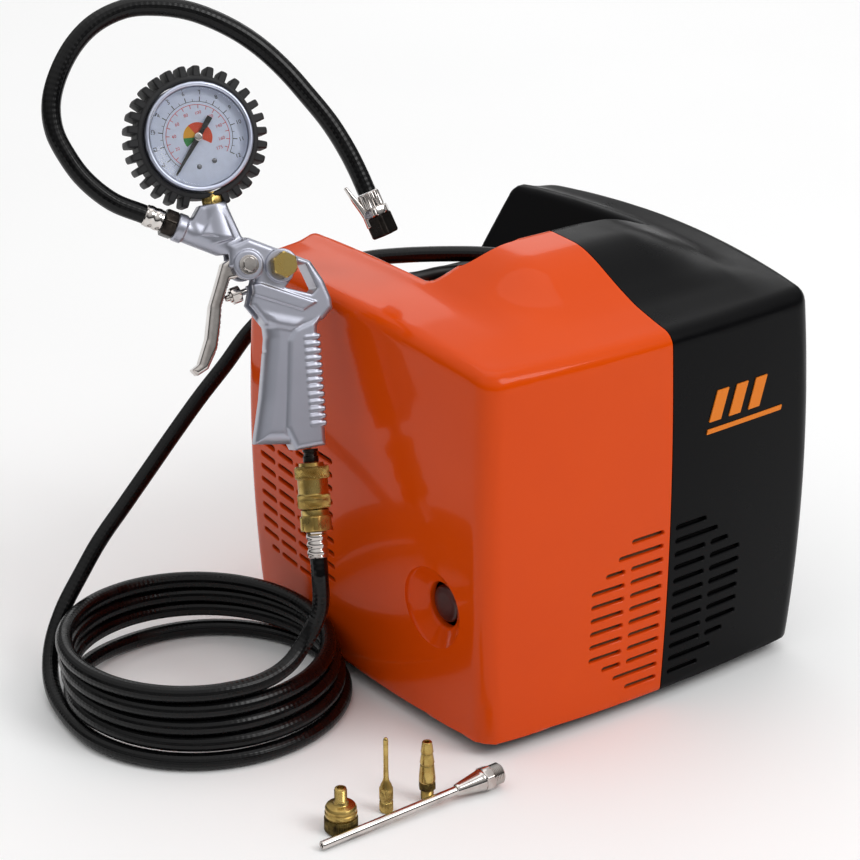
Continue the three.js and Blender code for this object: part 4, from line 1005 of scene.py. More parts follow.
def silver_lacquer():
    """Silver lacquer on zinc: fine flake and orange peel, greyer where hands have rubbed it."""
    made, tree, main = finish_of("silver_lacquer", Metallic=0.85, Roughness=0.36, Coat_Weight=0.25,
                                 Coat_Roughness=0.2)
    where = add(tree, "ShaderNodeTexCoord").outputs["Object"]
    rubbed = add(tree, "ShaderNodeTexNoise", {"Vector": where, "Scale": 1 / 0.03, "Detail": 4.0})
    colour = add(tree, "ShaderNodeMix", {"Factor": rubbed.outputs["Fac"], "A": linear("#B2B4C0"),
                                         "B": linear("#A2A4B0")}, data_type="RGBA")
    tree.links.new(colour.outputs[2], main.inputs["Base Color"])
    flake = add(tree, "ShaderNodeTexNoise", {"Vector": where, "Scale": 1 / 0.0004, "Detail": 1.0})
    gloss = add(tree, "ShaderNodeMapRange", {"Value": flake.outputs["Fac"], "To Min": 0.3, "To Max": 0.44})
    tree.links.new(gloss.outputs["Result"], main.inputs["Roughness"])
    peel = add(tree, "ShaderNodeTexNoise", {"Vector": where, "Scale": 1 / 0.0016, "Detail": 2.0})
    bump = add(tree, "ShaderNodeBump",
               {"Height": peel.outputs["Fac"], "Strength": 0.25, "Distance": 0.00006})
    tree.links.new(bump.outputs["Normal"], main.inputs["Normal"])
    return made


silver = silver_lacquer()
gun_body = new_piece("inflator_gun_body", from_gun(gun_points), gun_quads, silver, 180)
put(gun_body, ["gun_body"], "casing")
gun_side = GUN_AXES @ np.array((0, 0, 1.0))
cap = new_piece("brass_valve_cap", *turned_mesh(nut_profile(7.4, 0.2, 9, rounded=1.13) , gun_side,
                                                from_gun((*CAP, GUN_HALF + 0.6)), 96), brass)
put(cap, ["valve_cap"], "casing")
washer = turned("pivot_washer", [(0, 0), (6.2, 0), (6.2, 0.9), (0, 0.9)], gun_side,
                from_gun((*PIVOT, 12.95)), chrome, 48)
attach(washer, "casing")
screw_head = new_piece("pivot_screw_head", *turned_mesh(
    [(0, 0.8), (4.6, 0.8), (4.6, 1.6), (corners(4.1), 1.7), (corners(4.1), 3.6), (corners(3.7), 4.1),
     (0, 4.3)],
    gun_side, from_gun((*PIVOT, 13)), 72), chrome)
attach(screw_head, "casing")
pivot_pin = turned("trigger_pivot_pin", [(0, 0), (3, 0), (3, 25.6), (0, 25.6)], gun_side,
                   from_gun((*PIVOT, -12.8)),
                   steel, 40)
put(pivot_pin, ["trigger_pin"], "casing")

# ---------------------------------------------------------------- trigger and valve
# A long lever pressed from steel sheet and chromed, a channel open to the grip with a lip at its
# end, and the hexagonal nut and pin of the valve that it pushes.
TRIGGER_HALF = 6.4
trigger_outline = polygon([(-46, 61.5), (-52, 63.2), (-58, 63.5), (-63.2, 60.5), (-68.5, 48), (-74.3, 35),
                           (-79.2, 15),
                           (-86, 0), (-91, -3), (-88, -7), (-80.5, -3.4), (-73, 8.6), (-69, 23.6), (-67, 34),
                           (-59.6, 50), (-46, 51.2)])


def trigger_form(x, y, z):
    """The trigger's channel in the gun's frame."""
    w = np.abs(z)
    solid = both(trigger_outline(x, y), w - TRIGGER_HALF, 2.4)
    inner = np.maximum(trigger_outline(x - 2.2, y + 0.6) + 0.4, w - TRIGGER_HALF + 1.7)
    channel = np.maximum(solid, -np.maximum(inner, 6 - y))
    return np.maximum(channel, 3.05 - np.hypot(x - PIVOT[0], y - PIVOT[1]))


trigger_points, trigger_quads = skin(trigger_form, (-94, -10, -8), (-43, 67, 8), 0.7)
trigger = new_piece("gun_trigger_lever", from_gun(trigger_points), trigger_quads, chrome, 40)
put(trigger, ["gun_trigger"], "trigger")
stem_direction = GUN_AXES @ np.array(STEM_AXIS)
valve_nut = new_piece("valve_guide_nut", *turned_mesh(
    [(2.1, 0)] + nut_profile(5.1, 0, 6, 2.1)[1:5] + [(3.6, 6.2), (3.4, 7.4), (2.1, 7.4), (2.1, 0)],
    stem_direction, from_gun((NUT[0] - 0.4, NUT[1], 0)), 72), chrome)
put(valve_nut, ["valve_nut"], "casing")
valve_stem = turned("valve_push_stem", [(0, 0), (2, 0), (2, 14), (1.4, 15), (0, 15)], stem_direction,
                    from_gun((NUT[0] + 4, NUT[1] + 1.1, 0)), chrome, 32)
put(valve_stem, ["valve_stem"], "valve")

# ---------------------------------------------------------------- pressure gauge
# A 63 mm gauge in a chromed case with a domed rim and a clear lens, held in a rubber boot with
# blocks all round it. The dial is printed in bar and psi with a three-colour sector.
DIAL_Z = 2.8
gauge_centre = from_gun((*GAUGE_AT, 0))
stem_up = GUN_AXES @ np.array((GAUGE_AT[0] - GAUGE_FOOT[0], GAUGE_AT[1] - GAUGE_FOOT[1], 0))
gauge_stem = joined(
    "gauge_brass_stem",
    turned("part", [(0, 0), (4.9, 0), (4.9, 7.9), (0, 7.9)], stem_up, from_gun((*GAUGE_FOOT, 0)), brass, 32),
    new_piece("part", *turned_mesh(nut_profile(6.2, 0.2, 4.6), stem_up, from_gun((*GAUGE_FOOT, 0)), 72),
              brass),
)
put(gauge_stem, ["gauge_stem"], "casing")
case_profile = [(0, -15), (34.2, -15), (34.2, 8), (33.6, 9), (32.6, 9.2), (31.4, 8.6), (30.9, 7),
                (30.9, 1.6), (0, 1.6)]
pale_rim = turned_metal("pale_anodised_rim", "#D3D8E8", "#BCC2D6", 0.3, 0.02)
gauge_case = turned("gauge_case_and_rim", case_profile, gun_side, gauge_centre, pale_rim, 96, 0.4)
put(gauge_case, ["gauge_case"], "casing")


def clear_plastic():
    """The clear acrylic lens: nearly invisible but for its reflections and faint wiping marks."""
    made, tree, main = finish_of("clear_acrylic", Base_Color=(1, 1, 1, 1), Roughness=0.02, IOR=1.3,
                                 Transmission_Weight=1.0)
    where = add(tree, "ShaderNodeTexCoord").outputs["Object"]
    wiped = add(tree, "ShaderNodeTexNoise", {"Vector": where, "Scale": 1 / 0.02, "Detail": 3.0})
    haze = add(tree, "ShaderNodeMapRange", {"Value": wiped.outputs["Fac"], "To Min": 0.0, "To Max": 0.05})
    tree.links.new(haze.outputs["Result"], main.inputs["Roughness"])
    return made


lens_profile = [(0, 6.6), (30.6, 6.6), (30.6, 7.6), (29.8, 8.4), (0, 8.4)]
lens_piece = turned("gauge_clear_lens", lens_profile, gun_side, gauge_centre, clear_plastic(), 96, 0.3)
put(lens_piece, ["gauge_lens"], "casing")
boot_rubber = plain_rubber("moulded_black_rubber", "#141416", 0.62, 0.0005)
boot_profile = [(34.8, -16), (38.2, -16), (38.7, -15), (38.7, 3), (38, 4.6), (36, 5), (34.8, 4.4)]
boot_ring = outward(new_piece("part", *turned_mesh(softened(boot_profile, 0.6) + [boot_profile[0]],
                                                   gun_side, gauge_centre, 96), boot_rubber))


def boot_block(angle):
    """One rounded block of the boot, at an angle round the gauge."""
    across, up = np.array((math.cos(angle), math.sin(angle), 0)), np.array((-math.sin(angle),
                                                                            math.cos(angle), 0))

    def at(out, side, height):
        return from_gun(np.array((*GAUGE_AT, 0)) + across * out + up * side + np.array((0, 0, height)))
    rings = []
    for out, half, low, high in ((37.6, 2.6, -15.6, 4.2), (43.4, 2.3, -15.2, 3.6), (44.5, 2.1, -14.6, 2.8),
                                 (44.9, 1.5, -13.6, 1.6)):
        rings.append([at(out, s, h) for s, h in ((-half, low + 1), (-half + 0.8, low), (half - 0.8, low),
                                                 (half, low + 1), (half, high - 1), (half - 0.8, high),
                                                 (-half + 0.8, high), (-half, high - 1))])
    points = [p for ring in rings for p in ring]
    faces = [(8 * k + i, 8 * k + (i + 1) % 8, 8 * k + 8 + (i + 1) % 8, 8 * k + 8 + i) for k in range(3)
             for i in range(8)]
    return outward(new_piece("part", points, faces + [list(range(8)), list(range(24, 32))], boot_rubber))


BOOT_BLOCKS = 30
boot = joined("gauge_rubber_boot", boot_ring,
              *[boot_block(2 * math.pi * (k + 0.5) / BOOT_BLOCKS + math.pi / 2)
                                                for k in range(BOOT_BLOCKS)
                                                if abs(k + 0.5 - BOOT_BLOCKS / 2) > 1.2])
put(boot, ["gauge_boot"], "casing")


def printed(name, shade):
    """Screen-printed ink: flat colour with a slightly uneven film."""
    made, tree, main = finish_of(name, Roughness=0.5)
    where = add(tree, "ShaderNodeTexCoord").outputs["Object"]
    film = add(tree, "ShaderNodeTexNoise", {"Vector": where, "Scale": 1 / 0.004})
    colour = add(tree, "ShaderNodeMix", {"Factor": film.outputs["Fac"], "A": linear(shade),
                                         "B": [c * 0.85 for c in linear(shade)[:3]] + [1.0]},
                                         data_type="RGBA")
    tree.links.new(colour.outputs[2], main.inputs["Base Color"])
    return made


dial_white = printed("dial_enamel", "#DEE7FC")
ink = {"black": printed("black_ink", "#1A1A22"), "red": printed("red_ink", "#D8434B"),
       "green": printed("green_ink", "#1F8A3C"), "yellow": printed("yellow_ink", "#E9A61C"),
       "orange": printed("orange_ink", "#E2491C")}
dial = turned("gauge_dial_plate", [(0, 1.8), (30.7, 1.8), (30.7, DIAL_Z), (0, DIAL_Z)], gun_side,
              gauge_centre,
              dial_white, 96, 0.1)
put(dial, ["gauge_dial"], "casing")


def on_dial(points, height):
    """Points of the dial's own plane, in the object's frame."""
    return from_gun([(GAUGE_AT[0] + x, GAUGE_AT[1] + y, DIAL_Z + height) for x, y in points])


def bar_angle(value):
    """Where a pressure in bar stands on the dial, in degrees."""
    return 235 - 22.1 * value


def arc_shape(inner, outer, start, end):
    """A ring sector from one angle to another, in degrees."""
    angles = np.radians(np.linspace(start, end, max(2, int(abs(end - start) / 4))))
    return [(outer * math.cos(a), outer * math.sin(a)) for a in angles] + \
        [(inner * math.cos(a), inner * math.sin(a)) for a in reversed(angles)]


def tick(inner, outer, angle, width):
    """A radial line."""
    c, s = math.cos(math.radians(angle)), math.sin(math.radians(angle))
    return [(inner * c + w * s, inner * s - w * c) for w in (width / 2, -width / 2)] + \
        [(outer * c + w * s, outer * s - w * c) for w in (-width / 2, width / 2)]


def print_shapes(name, shapes, colour, height):
    """Flat printed shapes with a film's thickness."""
    points, faces = [], []
    for outline in shapes:
        n, start = len(outline), len(points)
        points.extend(on_dial(outline, 0.02))
        points.extend(on_dial(outline, height))
        half = n // 2
        for base in (start, start + n):
            faces += [(base + i, base + i + 1, base + n - 2 - i, base + n - 1 - i) for i in range(half - 1)]
        faces += [(start + i, start + (i + 1) % n, start + n + (i + 1) % n, start + n + i) for i in range(n)]
    piece = outward(new_piece(name, points, faces, ink[colour]))
    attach(piece, "casing")


PSI_PER_BAR = 14.504
black_marks = [arc_shape(21.9, 22.2, 235, bar_angle(12))]
black_marks += [tick(22, 25, bar_angle(k), 0.5) for k in range(13)]
black_marks += [tick(22, 23.6, bar_angle(k / 2), 0.25) for k in range(1, 24, 2)]
red_marks = [arc_shape(19.9, 20.25, 235, bar_angle(175 / PSI_PER_BAR))]
red_marks += [tick(17.8, 20, bar_angle(k * 10 / PSI_PER_BAR), 0.4) for k in range(18)]
print_shapes("dial_black_scale", black_marks, "black", 0.09)
print_shapes("dial_red_scale", red_marks, "red", 0.08)
print_shapes("dial_green_sector", [arc_shape(2.4, 9.2, 217, 180)], "green", 0.06)
print_shapes("dial_yellow_sector", [arc_shape(2.4, 9.2, 180, 125)], "yellow", 0.06)
print_shapes("dial_orange_sector", [arc_shape(2.4, 9.2, 125, -30)], "orange", 0.06)
print_shapes("dial_green_dot", [arc_shape(0.05, 0.7, 0, 356)], "green", 0.06)


def numerals(name, labels, radius, size, colour):
    """Numbers standing round the dial."""
    pieces = []
    for text, angle in labels:
        curve = bpy.data.curves.new(name, "FONT")
        curve.body = text
        curve.size = size * MM
        curve.align_x = "CENTER"
        curve.align_y = "CENTER"
        curve.extrude = 0.04 * MM
        curve.resolution_u = 3
        label = bpy.data.objects.new(name, curve)
        bpy.context.scene.collection.objects.link(label)
        mesh = bpy.data.meshes.new_from_object(label.evaluated_get(bpy.context.evaluated_depsgraph_get()))
        bpy.data.objects.remove(label)
        turn = math.radians(12.5)
        a = math.radians(angle)
        local = [(v.co.x / MM * math.cos(turn) - v.co.y / MM * math.sin(turn) + radius * math.cos(a),
                  v.co.x / MM * math.sin(turn) + v.co.y / MM * math.cos(turn) + radius * math.sin(a),
                  0.05 + v.co.z / MM) for v in mesh.vertices]
        points = from_gun([(GAUGE_AT[0] + x, GAUGE_AT[1] + y, DIAL_Z + z) for x, y, z in local])
        pieces.append(new_piece("part", points, [list(p.vertices) for p in mesh.polygons], ink[colour]))
    piece = joined(name, *pieces)
    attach(piece, "casing")


numerals("dial_bar_numerals", [(str(k), bar_angle(k)) for k in range(1, 13)], 27.6, 3.6, "black")
numerals("dial_psi_numerals", [(str(k), bar_angle(k / PSI_PER_BAR))
                               for k in (20, 40, 60, 80, 100, 120, 140, 160, 175)],
         15, 2.9, "red")
NEEDLE_ANGLE = math.radians(233)
needle_outline = [(-14.6, -1.7), (-7.5, -1.7), (-6.5, -1.1), (0, -1.7), (28, -0.5), (28, 0.5), (0, 1.7),
                  (-6.5, 1.1),
                  (-7.5, 1.7), (-14.6, 1.7)]
cosine, sine = math.cos(NEEDLE_ANGLE), math.sin(NEEDLE_ANGLE)
turned_outline = [(x * cosine - y * sine, x * sine + y * cosine) for x, y in needle_outline]
count = len(turned_outline)
needle_points = np.concatenate([on_dial(turned_outline, 1.6), on_dial(turned_outline, 2.2)])
needle_faces = [list(reversed(range(count))), list(range(count, 2 * count))]
needle_faces += [(i, (i + 1) % count, count + (i + 1) % count, count + i) for i in range(count)]
needle_black = plain_rubber("needle_lacquer", "#070708", 0.35, 0.001)
needle = outward(new_piece("gauge_pointer", needle_points, needle_faces, needle_black))
put(needle, ["gauge_needle"], "needle")
hub = turned("gauge_pointer_hub", [(0, 1.4), (2.7, 1.4), (2.7, 2.9), (1.9, 3.3), (0, 3.3)], gun_side,
             from_gun((*GAUGE_AT, DIAL_Z - 0.2)), chrome, 32)
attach(hub, "needle")
for name, x, y in (("dial_screw_left", -1.4, -18.3), ("dial_screw_right", 8.5, -15.5)):
    screw = turned(name, [(0, 0), (1.6, 0), (1.5, 0.5), (0.9, 0.8), (0, 0.9)], gun_side,
                   from_gun((GAUGE_AT[0] + x, GAUGE_AT[1] + y, DIAL_Z)), steel, 24, 0.1)
    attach(screw, "casing")

# ---------------------------------------------------------------- ends of the short hose
# A blackened nut and a chromed ferrule at the barrel, and the tyre chuck: a fluted ferrule, a
# blackened square-cornered end with a hexagon, and a sprung clip lever.
out_of_barrel = GUN_AXES @ -BARREL_AXIS
tip = from_gun(BARREL_TIP)
whip_nut = new_piece("short_hose_nut", *turned_mesh(nut_profile(8.2, 0.3, 8.3), out_of_barrel, tip, 96),
                     dark_steel)
put(whip_nut, ["whip_nut"], "casing")
whip_ferrule = turned("short_hose_ferrule", [(0, 0)] + crimped(7.1, 12, 2, 0.4) + [(0, 12)], out_of_barrel,
                      from_gun(BARREL_TIP - BARREL_AXIS * 8.6), chrome, 48, 0)
put(whip_ferrule, ["whip_ferrule"], "casing")
chuck_direction = GUN_AXES @ CHUCK_AXIS
chuck_place = from_gun(CHUCK_AT)
grooved = fluted(7.2, 0.8, 18)
chuck_ferrule = new_piece("part", *turned_mesh(
    [(0, 0), (6.4, 0), (7, 0.6), (grooved, 1.4), (grooved, 9.4), (7, 10), (6.6, 10.6), (0, 10.6)],
    chuck_direction,
    chuck_place, 144), chrome, 50)
chuck_hex = new_piece("part", *turned_mesh(nut_profile(8.2, 10.6, 15.6), chuck_direction, chuck_place, 96),
                      chrome)
chuck_front = joined("chuck_ferrule_and_hexagon", chuck_ferrule, chuck_hex)
put(chuck_front, ["chuck_body"], "casing")
square = corners(7.2, 4, 1.22)
chuck_profile = [(0, 15.7), (corners(6.6, 4, 1.2), 15.7), (square, 16.4), (square, 28.4),
                 (corners(6.6, 4, 1.2), 29.4),
                 (4.2, 29.6), (4, 29), (4, 23), (0, 23)]
chuck_end = new_piece("chuck_head", *turned_mesh(chuck_profile, chuck_direction, chuck_place, 96),
                      dark_steel)
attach(chuck_end, "casing")
lever_pivot = CHUCK_AT + CHUCK_AXIS * 20 + np.array((-6.4, 0, 0))
lever_outline = [(-2, -4), (2.4, -2), (0.5, 4), (-4, 11), (-9, 18), (-13, 24), (-14.5, 23), (-10, 14),
                 (-6, 7), (-4, 3)]
lever_flat = polygon(lever_outline)


def lever_form(x, y, z):
    """The clip lever's folded plate about its pivot."""
    return both(lever_flat(x, y), np.abs(z) - 2, 0.7)


lever_points, lever_quads = skin(lever_form, (-17, -6, -3), (4, 26, 3), 0.5)
lever = new_piece("chuck_clip_lever", from_gun(lever_points + lever_pivot), lever_quads, chrome, 50)
put(lever, ["chuck_lever"], "clip")

# ---------------------------------------------------------------- adapters on the floor
# Turned brass: a valve adapter, a ball needle and a tapered cone, each with a knurled or hexagonal
# foot, and a chromed blow nozzle that lies in front of them.
UP = (0, 0, 1)
valve_at = (-248, -145, 0.3)
knurl = fluted(10.4, 0.5, 60)
valve_foot = new_piece("valve_adapter_knurled_foot", *turned_mesh(
    [(0, 0), (9.8, 0), (knurl, 0.6), (knurl, 8.4), (9.8, 9), (0, 9)], UP, valve_at, 240), dark_brass, 50)
put(valve_foot, ["adapter_valve"], "casing")
threads = [(4.0 if k % 2 else 3.5, 20.6 + 0.45 * k) for k in range(17)]
valve_profile = [(0, 9), (9.4, 9.1), (9.6, 10), (10, 10.6), (10, 12.4), (9.2, 13), (9.2, 13.6), (9.7, 14),
                 (9.7, 15.6),
                 (8.8, 17), (5, 18), (4.6, 18.4), (4.1, 20.2), *threads, (3.6, 28.6), (2.2, 29), (2, 27),
                 (0, 27)]
valve_top = turned("valve_adapter_stub", valve_profile, UP, valve_at, brass, 72, 0.15)
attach(valve_top, "casing")
needle_knurl = fluted(4.3, 0.35, 30)
ball_needle = new_piece("ball_needle", *turned_mesh(
    [(0, 0), (3.9, 0), (needle_knurl, 0.6), (needle_knurl, 6.6), (3.6, 7), (3.6, 8), (needle_knurl, 8.4),
     (needle_knurl, 16.2), (3.8, 17), (3.4, 18.6), (2.2, 21), (1.7, 23.5), (1.55, 30), (1.55, 49.4),
     (1.3, 50.6),
     (0.8, 51.3), (0, 51.5)], UP, (-214, -144, 0.3), 120), brass, 50)
put(ball_needle, ["adapter_needle"], "casing")
cone_at = (-186, -148, 0.3)
cone_threads = [(4.1 if k % 2 else 3.6, 0.5 + 0.45 * k) for k in range(16)]
cone = joined(
    "tapered_adapter",
    turned("part", [(0, 0), (3.4, 0), *cone_threads, (3.6, 8), (0, 8)], UP, cone_at, brass, 56, 0.1),
    turned("part", [(0, 12.8), (5, 12.9), (5.2, 14), (5.1, 17), (4.4, 24.6), (4, 25.2), (4, 25.8),
                    (4.6, 26.4),
                    (4.2, 29), (3.6, 32.8), (3.4, 33.2), (4, 33.8), (3.7, 36), (3.1, 40.6), (2.6, 41),
                    (1.6, 41),
                    (1.5, 38), (0, 38)], UP, cone_at, brass, 56, 0.25),
)
put(cone, ["adapter_cone"], "casing")
cone_hex = new_piece("tapered_adapter_hexagon", *turned_mesh(nut_profile(5, 8, 12.9), UP, cone_at, 72),
                     dark_brass)
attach(cone_hex, "casing")
blow_tip = np.array((-271, -158, 3.4))
blow_axis = np.array((-139, -160, 8.6)) - blow_tip
blow_length = float(np.linalg.norm(blow_axis))
blow_profile = [(1.4, 0.6), (1.8, 0), (2.5, 0), (2.8, 0.5), (2.8, blow_length - 34),
                (3.6, blow_length - 33.6), (4, blow_length - 32), (6.6, blow_length - 16.6),
                (7, blow_length - 15), (7, blow_length - 14)]
blow_nozzle = joined(
    "blow_nozzle_tube",
    turned("part", [(0, 3)] + [(1.4, 3)] + blow_profile + [(0, blow_length - 14)], blow_axis, blow_tip,
           chrome, 48, 0.2),
    new_piece("part", *turned_mesh(nut_profile(7.2, blow_length - 14, blow_length - 8), blow_axis, blow_tip,
                                   96), chrome),
    turned("part", [(0, blow_length - 8),
                    (6, blow_length - 8)] + [(6.8 if k % 2 else 6.2, blow_length - 7.5 + 0.6 * k)
                                             for k in range(12)]
           + [(6, blow_length), (0, blow_length)], blow_axis, blow_tip, chrome, 48, 0),
)
put(blow_nozzle, ["blow_nozzle"], "casing")

# ---------------------------------------------------------------- badge
# A generic badge on the black shell: slanting bars over a thin rule, moulded in orange and set on
# the wall's curve.
BADGE_X = 70
BADGE_Z = 202


def on_front(points, out):
    """Points of the front wall, from places measured across and up it."""
    return [wall_point((0, -1), x, z, out) for x, z in points]


def bar(low_left, width, height, slant):
    """A slanting bar with a little round to its corners, as an outline across and up the wall."""
    x, z = low_left
    corners_of = [(x, z), (x + width, z), (x + width + slant, z + height), (x + slant, z + height)]
    outline = []
    for before, here, after in zip(corners_of[-1:] + corners_of[:-1], corners_of,
                                   corners_of[1:] + corners_of[:1]):
        for share, other in ((0.9, before), (0.3, before), (0.3, after), (0.9, after)):
            reach = share / math.dist(here, other)
            outline.append((here[0] + (other[0] - here[0]) * reach, here[1] + (other[1] - here[1]) * reach))
    return outline


badge_points, badge_faces = [], []
bars = [bar((BADGE_X - 32 + 17 * k, BADGE_Z - 7), 10, 20, 7) for k in range(3)]
bars.append(bar((BADGE_X - 34, BADGE_Z - 15), 66, 3.2, 1))
for outline in bars:
    count, start = len(outline), len(badge_points)
    badge_points += on_front(outline, -0.3) + on_front(outline, 0.7)
    badge_faces += [list(range(start, start + count)), list(range(start + count, start + 2 * count))]
    badge_faces += [(start + i, start + (i + 1) % count, start + count + (i + 1) % count, start + count + i)
                    for i in range(count)]
badge_orange = moulded_abs("badge_orange_print", "#E8801C", "#DC7414", 0.35, 0.1, 0.004, 0.00002)
badge = outward(new_piece("badge_bars", badge_points, badge_faces, badge_orange))
put(badge, ["badge"], "casing")

# ---------------------------------------------------------------- base, feet, button and switch
# A moulded floor on four rubber feet, the soft cap of the thermal reset in its dish, and a rocker switch in
# a bezel at the rear. The cap's dark red is painted shade: the orange plastic as it looks in the shade of
# its recess.
base_black = moulded_abs("base_black_ABS", "#101012", "#0B0B0D", 0.55, 0.0, 0.0011, 0.00006)
bpy.data.objects["base_plate"].data.materials.clear()
bpy.data.objects["base_plate"].data.materials.append(base_black)
for name, x, y in (("foot_front_left", -1, -1), ("foot_front_right", 1, -1), ("foot_rear_left", -1, 1),
                   ("foot_rear_right", 1, 1)):
    place = (x * (CASE_LENGTH / 2 - 21), y * (CASE_DEPTH / 2 - 24), 0)
    foot_profile = [(0, 1), (3, 1), (3.4, 0), (9, 0), (11, 2), (11.9, 9.1), (0, 9.1)]
    foot = turned(f"rubber_{name}", foot_profile, UP, place, boot_rubber, 48, 0.5)
    put(foot, [name], "casing")
# Painted shade: the cap is coloured the dark red of orange plastic lying in the shade of its recess.
reset_cap_painted_shade = plain_rubber("cap_rubber_painted_shade_red", "#3A0E08", 0.35, 0.0008)
button_profile = [(0, -0.2), (8, 0), (11, 0.5), (12.2, 1.6), (12.4, 9), (0, 9)]
button = turned("thermal_reset_cap", button_profile, (1, 0, 0), (DISH_FACE + DISH_DEPTH + 1, DISH_Y, DISH_Z),
                reset_cap_painted_shade, 64, 0.5)
put(button, ["reset_button"], "reset")
bezel = shape(block((SWITCH_X - 13.5, SWITCH_FACE + 0.6, SWITCH_Z - 17.5),
                    (SWITCH_X + 13.5, SWITCH_FACE + 2.6, SWITCH_Z + 17.5)),
              block((SWITCH_X - 9.3, SWITCH_FACE - 5, SWITCH_Z - 13.3),
                    (SWITCH_X + 9.3, SWITCH_FACE + 9, SWITCH_Z + 13.3)), "DIFFERENCE")
bezel.name = "switch_bezel"
bezel.data.materials.clear()
bezel.data.materials.append(base_black)
put(bezel, ["switch_frame"], "casing")


def rocker_form(x, y, z):
    """The switch's rocker: two sloping halves that meet in a shallow valley."""
    level = SWITCH_FACE + 1 + np.maximum(0.25 + (z - SWITCH_Z) * 0.26, 0.2 - (z - SWITCH_Z) * 0.11)
    side = np.maximum(np.abs(x - SWITCH_X) - 9, np.abs(z - SWITCH_Z) - 12)
    return both(both(side, y - level, 0.8), SWITCH_FACE - 5 - y, 0.4)


rocker = new_piece("switch_rocker_cap", *skin(rocker_form, (SWITCH_X - 11, SWITCH_FACE - 7, SWITCH_Z - 14),
                                              (SWITCH_X + 11, SWITCH_FACE + 7, SWITCH_Z + 14), 0.7),
                                              base_black, 50)
put(rocker, ["switch_rocker"], "rocker")

# ---------------------------------------------------------------- works behind the vents
# Motor, pump and pipe show dimly through the slots, past felt baffles behind each field of vents. The felts'
# shades are painted light and shade: pale sand behind the orange front as the lit inside, olive behind the
# left end and near-black behind the black half as the inside in shade.
cast_alloy = turned_metal("cast_alloy", "#A7A9AC", "#7D7F83", 0.45, 0.01)
lamination = turned_metal("steel_laminations", "#77797D", "#4A4B4F", 0.4, 0.02)
copper = turned_metal("copper_tube", "#B5683C", "#7C4226", 0.28, 0.012)
for names, finish in (
    (("bracket_fan_end", "bracket_pump_end", "piston_rod", "cylinder", "cylinder_head", "crankcase"),
     cast_alloy),
    (("motor_stator", "bearing_fan_end", "bearing_pump_end", "crank_disc"), lamination),
    (("armature", "delivery_tube"), copper),
    (("motor_fan", "intake_filter"), base_black),
):
    for name in names:
        node = bpy.data.objects[name]
        node.data.materials.clear()
        node.data.materials.append(finish)


def felt(name, shade):
    """Sound-damping felt: matt and fibrous. The shades given to it below are painted light and shade for the
    inside seen through the vents.
    """
    made, tree, main = finish_of(name, Roughness=0.95)
    where = add(tree, "ShaderNodeTexCoord").outputs["Object"]
    fibres = add(tree, "ShaderNodeTexNoise", {"Vector": where, "Scale": 1 / 0.0015, "Detail": 4.0})
    colour = add(tree, "ShaderNodeMix", {"Factor": fibres.outputs["Fac"], "A": linear(shade),
                                         "B": [c * 0.6 for c in linear(shade)[:3]] + [1.0]},
                                         data_type="RGBA")
    tree.links.new(colour.outputs[2], main.inputs["Base Color"])
    return made


def baffle(name, side, middle, half_along, half_up, finish):
    """A felt sheet that stands just behind a field of vents, following the wall. Its felt's shade stands in
    for the light and shade of the inside seen through the slots.
    """
    steps = 12
    lines = [(middle[0] + half_along * (2 * i / steps - 1), middle[1] + half_up * (2 * j / steps - 1))
             for j in range(steps + 1) for i in range(steps + 1)]
    points = [wall_point(side, along, height, out) for out in (-5, -6.5) for along, height in lines]
    row, count = steps + 1, len(lines)
    faces = []
    for base in (0, count):
        faces += [(base + j * row + i, base + j * row + i + 1, base + (j + 1) * row + i + 1,
                   base + (j + 1) * row + i)
                  for j in range(steps) for i in range(steps)]
    edge = [i for i in range(row)] + [j * row + steps for j in range(1, row)]
    edge += [steps * row + i for i in reversed(range(steps))] + [j * row for j in reversed(range(1, steps))]
    faces += [(a, b, b + count, a + count) for a, b in zip(edge, edge[1:] + edge[:1])]
    made = outward(new_piece(name, points, faces, finish))
    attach(made, "casing")


# Painted light: a pale sand felt as the lit inside behind the orange front's slots.
felt_painted_lit = felt("felt_painted_lit", "#A08A6A")
# Painted shade: an olive felt as the shaded inside behind the left end's slots.
felt_painted_half_shade = felt("felt_painted_half_shade", "#54421F")
# Painted shade: a near-black felt as the inside in shade behind the black half's slots.
felt_painted_shade = felt("felt_painted_shaded_inside", "#101010")
baffle("front_left_baffle", (0, -1), (SEAM_X - 34, 75), 32, 58, felt_painted_lit)
baffle("front_right_baffle", (0, -1), (SEAM_X + 34, 75), 32, 58, felt_painted_shade)
baffle("left_end_baffle", (-1, 0), (68, 112), 53, 60, felt_painted_half_shade)
baffle("right_end_baffle", (1, 0), (68, 112), 53, 60, felt_painted_shade)
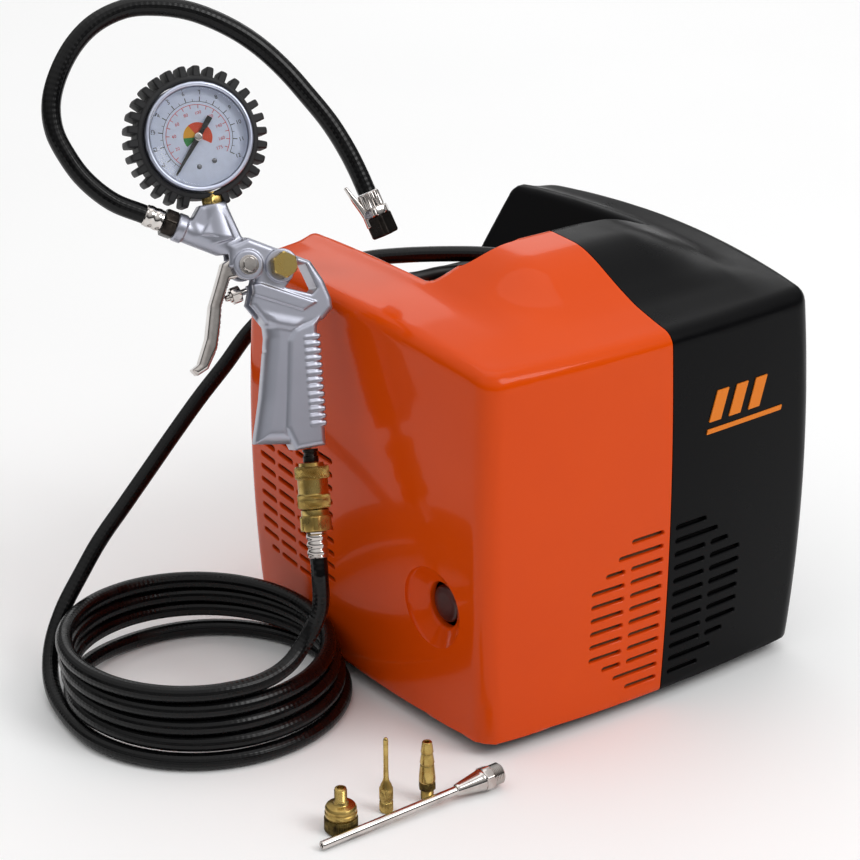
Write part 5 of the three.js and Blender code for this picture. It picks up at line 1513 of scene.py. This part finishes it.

# ---------------------------------------------------------------- floor and studio light
# A pale paper floor, a large soft box over the front right with weaker ones overhead and behind, and a pale
# room that is darker low down.
floor_finish, floor_tree, floor_surface = finish_of("pale_paper", Roughness=0.9)
fibre = add(floor_tree, "ShaderNodeTexNoise",
            {"Vector": add(floor_tree, "ShaderNodeTexCoord").outputs["Object"], "Scale": 1 / 0.4})
tint = add(floor_tree, "ShaderNodeMix", {"Factor": fibre.outputs["Fac"], "A": linear("#FFFFFF"),
                                         "B": linear("#FBFBFB")}, data_type="RGBA")
floor_tree.links.new(tint.outputs[2], floor_surface.inputs["Base Color"])
floor = new_piece("floor", [(-9000, -9000, -0.2), (9000, -9000, -0.2), (9000, 9000, -0.2),
                            (-9000, 9000, -0.2)],
                  [(0, 1, 2, 3)], floor_finish)


def soft_box(name, at, aim, size, power, colour="#FFFFFF"):
    """A square area light aimed at a point. Places are in metres."""
    data = bpy.data.lights.new(name, "AREA")
    data.shape = "RECTANGLE"
    data.size, data.size_y = size
    data.energy = power
    data.color = linear(colour)[:3]
    made = bpy.data.objects.new(name, data)
    bpy.context.scene.collection.objects.link(made)
    made.location = at
    made.rotation_mode = "QUATERNION"
    made.rotation_quaternion = (Vector(aim) - Vector(at)).to_track_quat("-Z", "Y")


soft_box("key_light", (0.9, -2.2, 2.4), (0, 0, 0.12), (1.4, 1.4), 34)
soft_box("top_light", (0.2, 0.3, 2.6), (0, 0, 0.1), (1.8, 1.8), 8)
soft_box("back_light", (1.7, 2.2, 1.5), (0, 0, 0.26), (2.4, 1.0), 10)
room = bpy.data.worlds.new("pale_room")
room.use_nodes = True
room.node_tree.nodes.clear()
ways = add(room.node_tree, "ShaderNodeTexCoord").outputs["Generated"]
height = add(room.node_tree, "ShaderNodeSeparateXYZ", {"Vector": ways}).outputs["Z"]
glow = add(room.node_tree, "ShaderNodeMapRange", {"Value": height, "From Min": 0.15, "From Max": 0.75,
                                                  "To Min": 0.05, "To Max": 0.88}).outputs["Result"]
sky = add(room.node_tree, "ShaderNodeBackground", {"Color": (1, 1, 1, 1), "Strength": glow})
add(room.node_tree, "ShaderNodeOutputWorld", {"Surface": sky.outputs["Background"]})
bpy.context.scene.world = room
bpy.context.scene.view_settings.view_transform = "Standard"
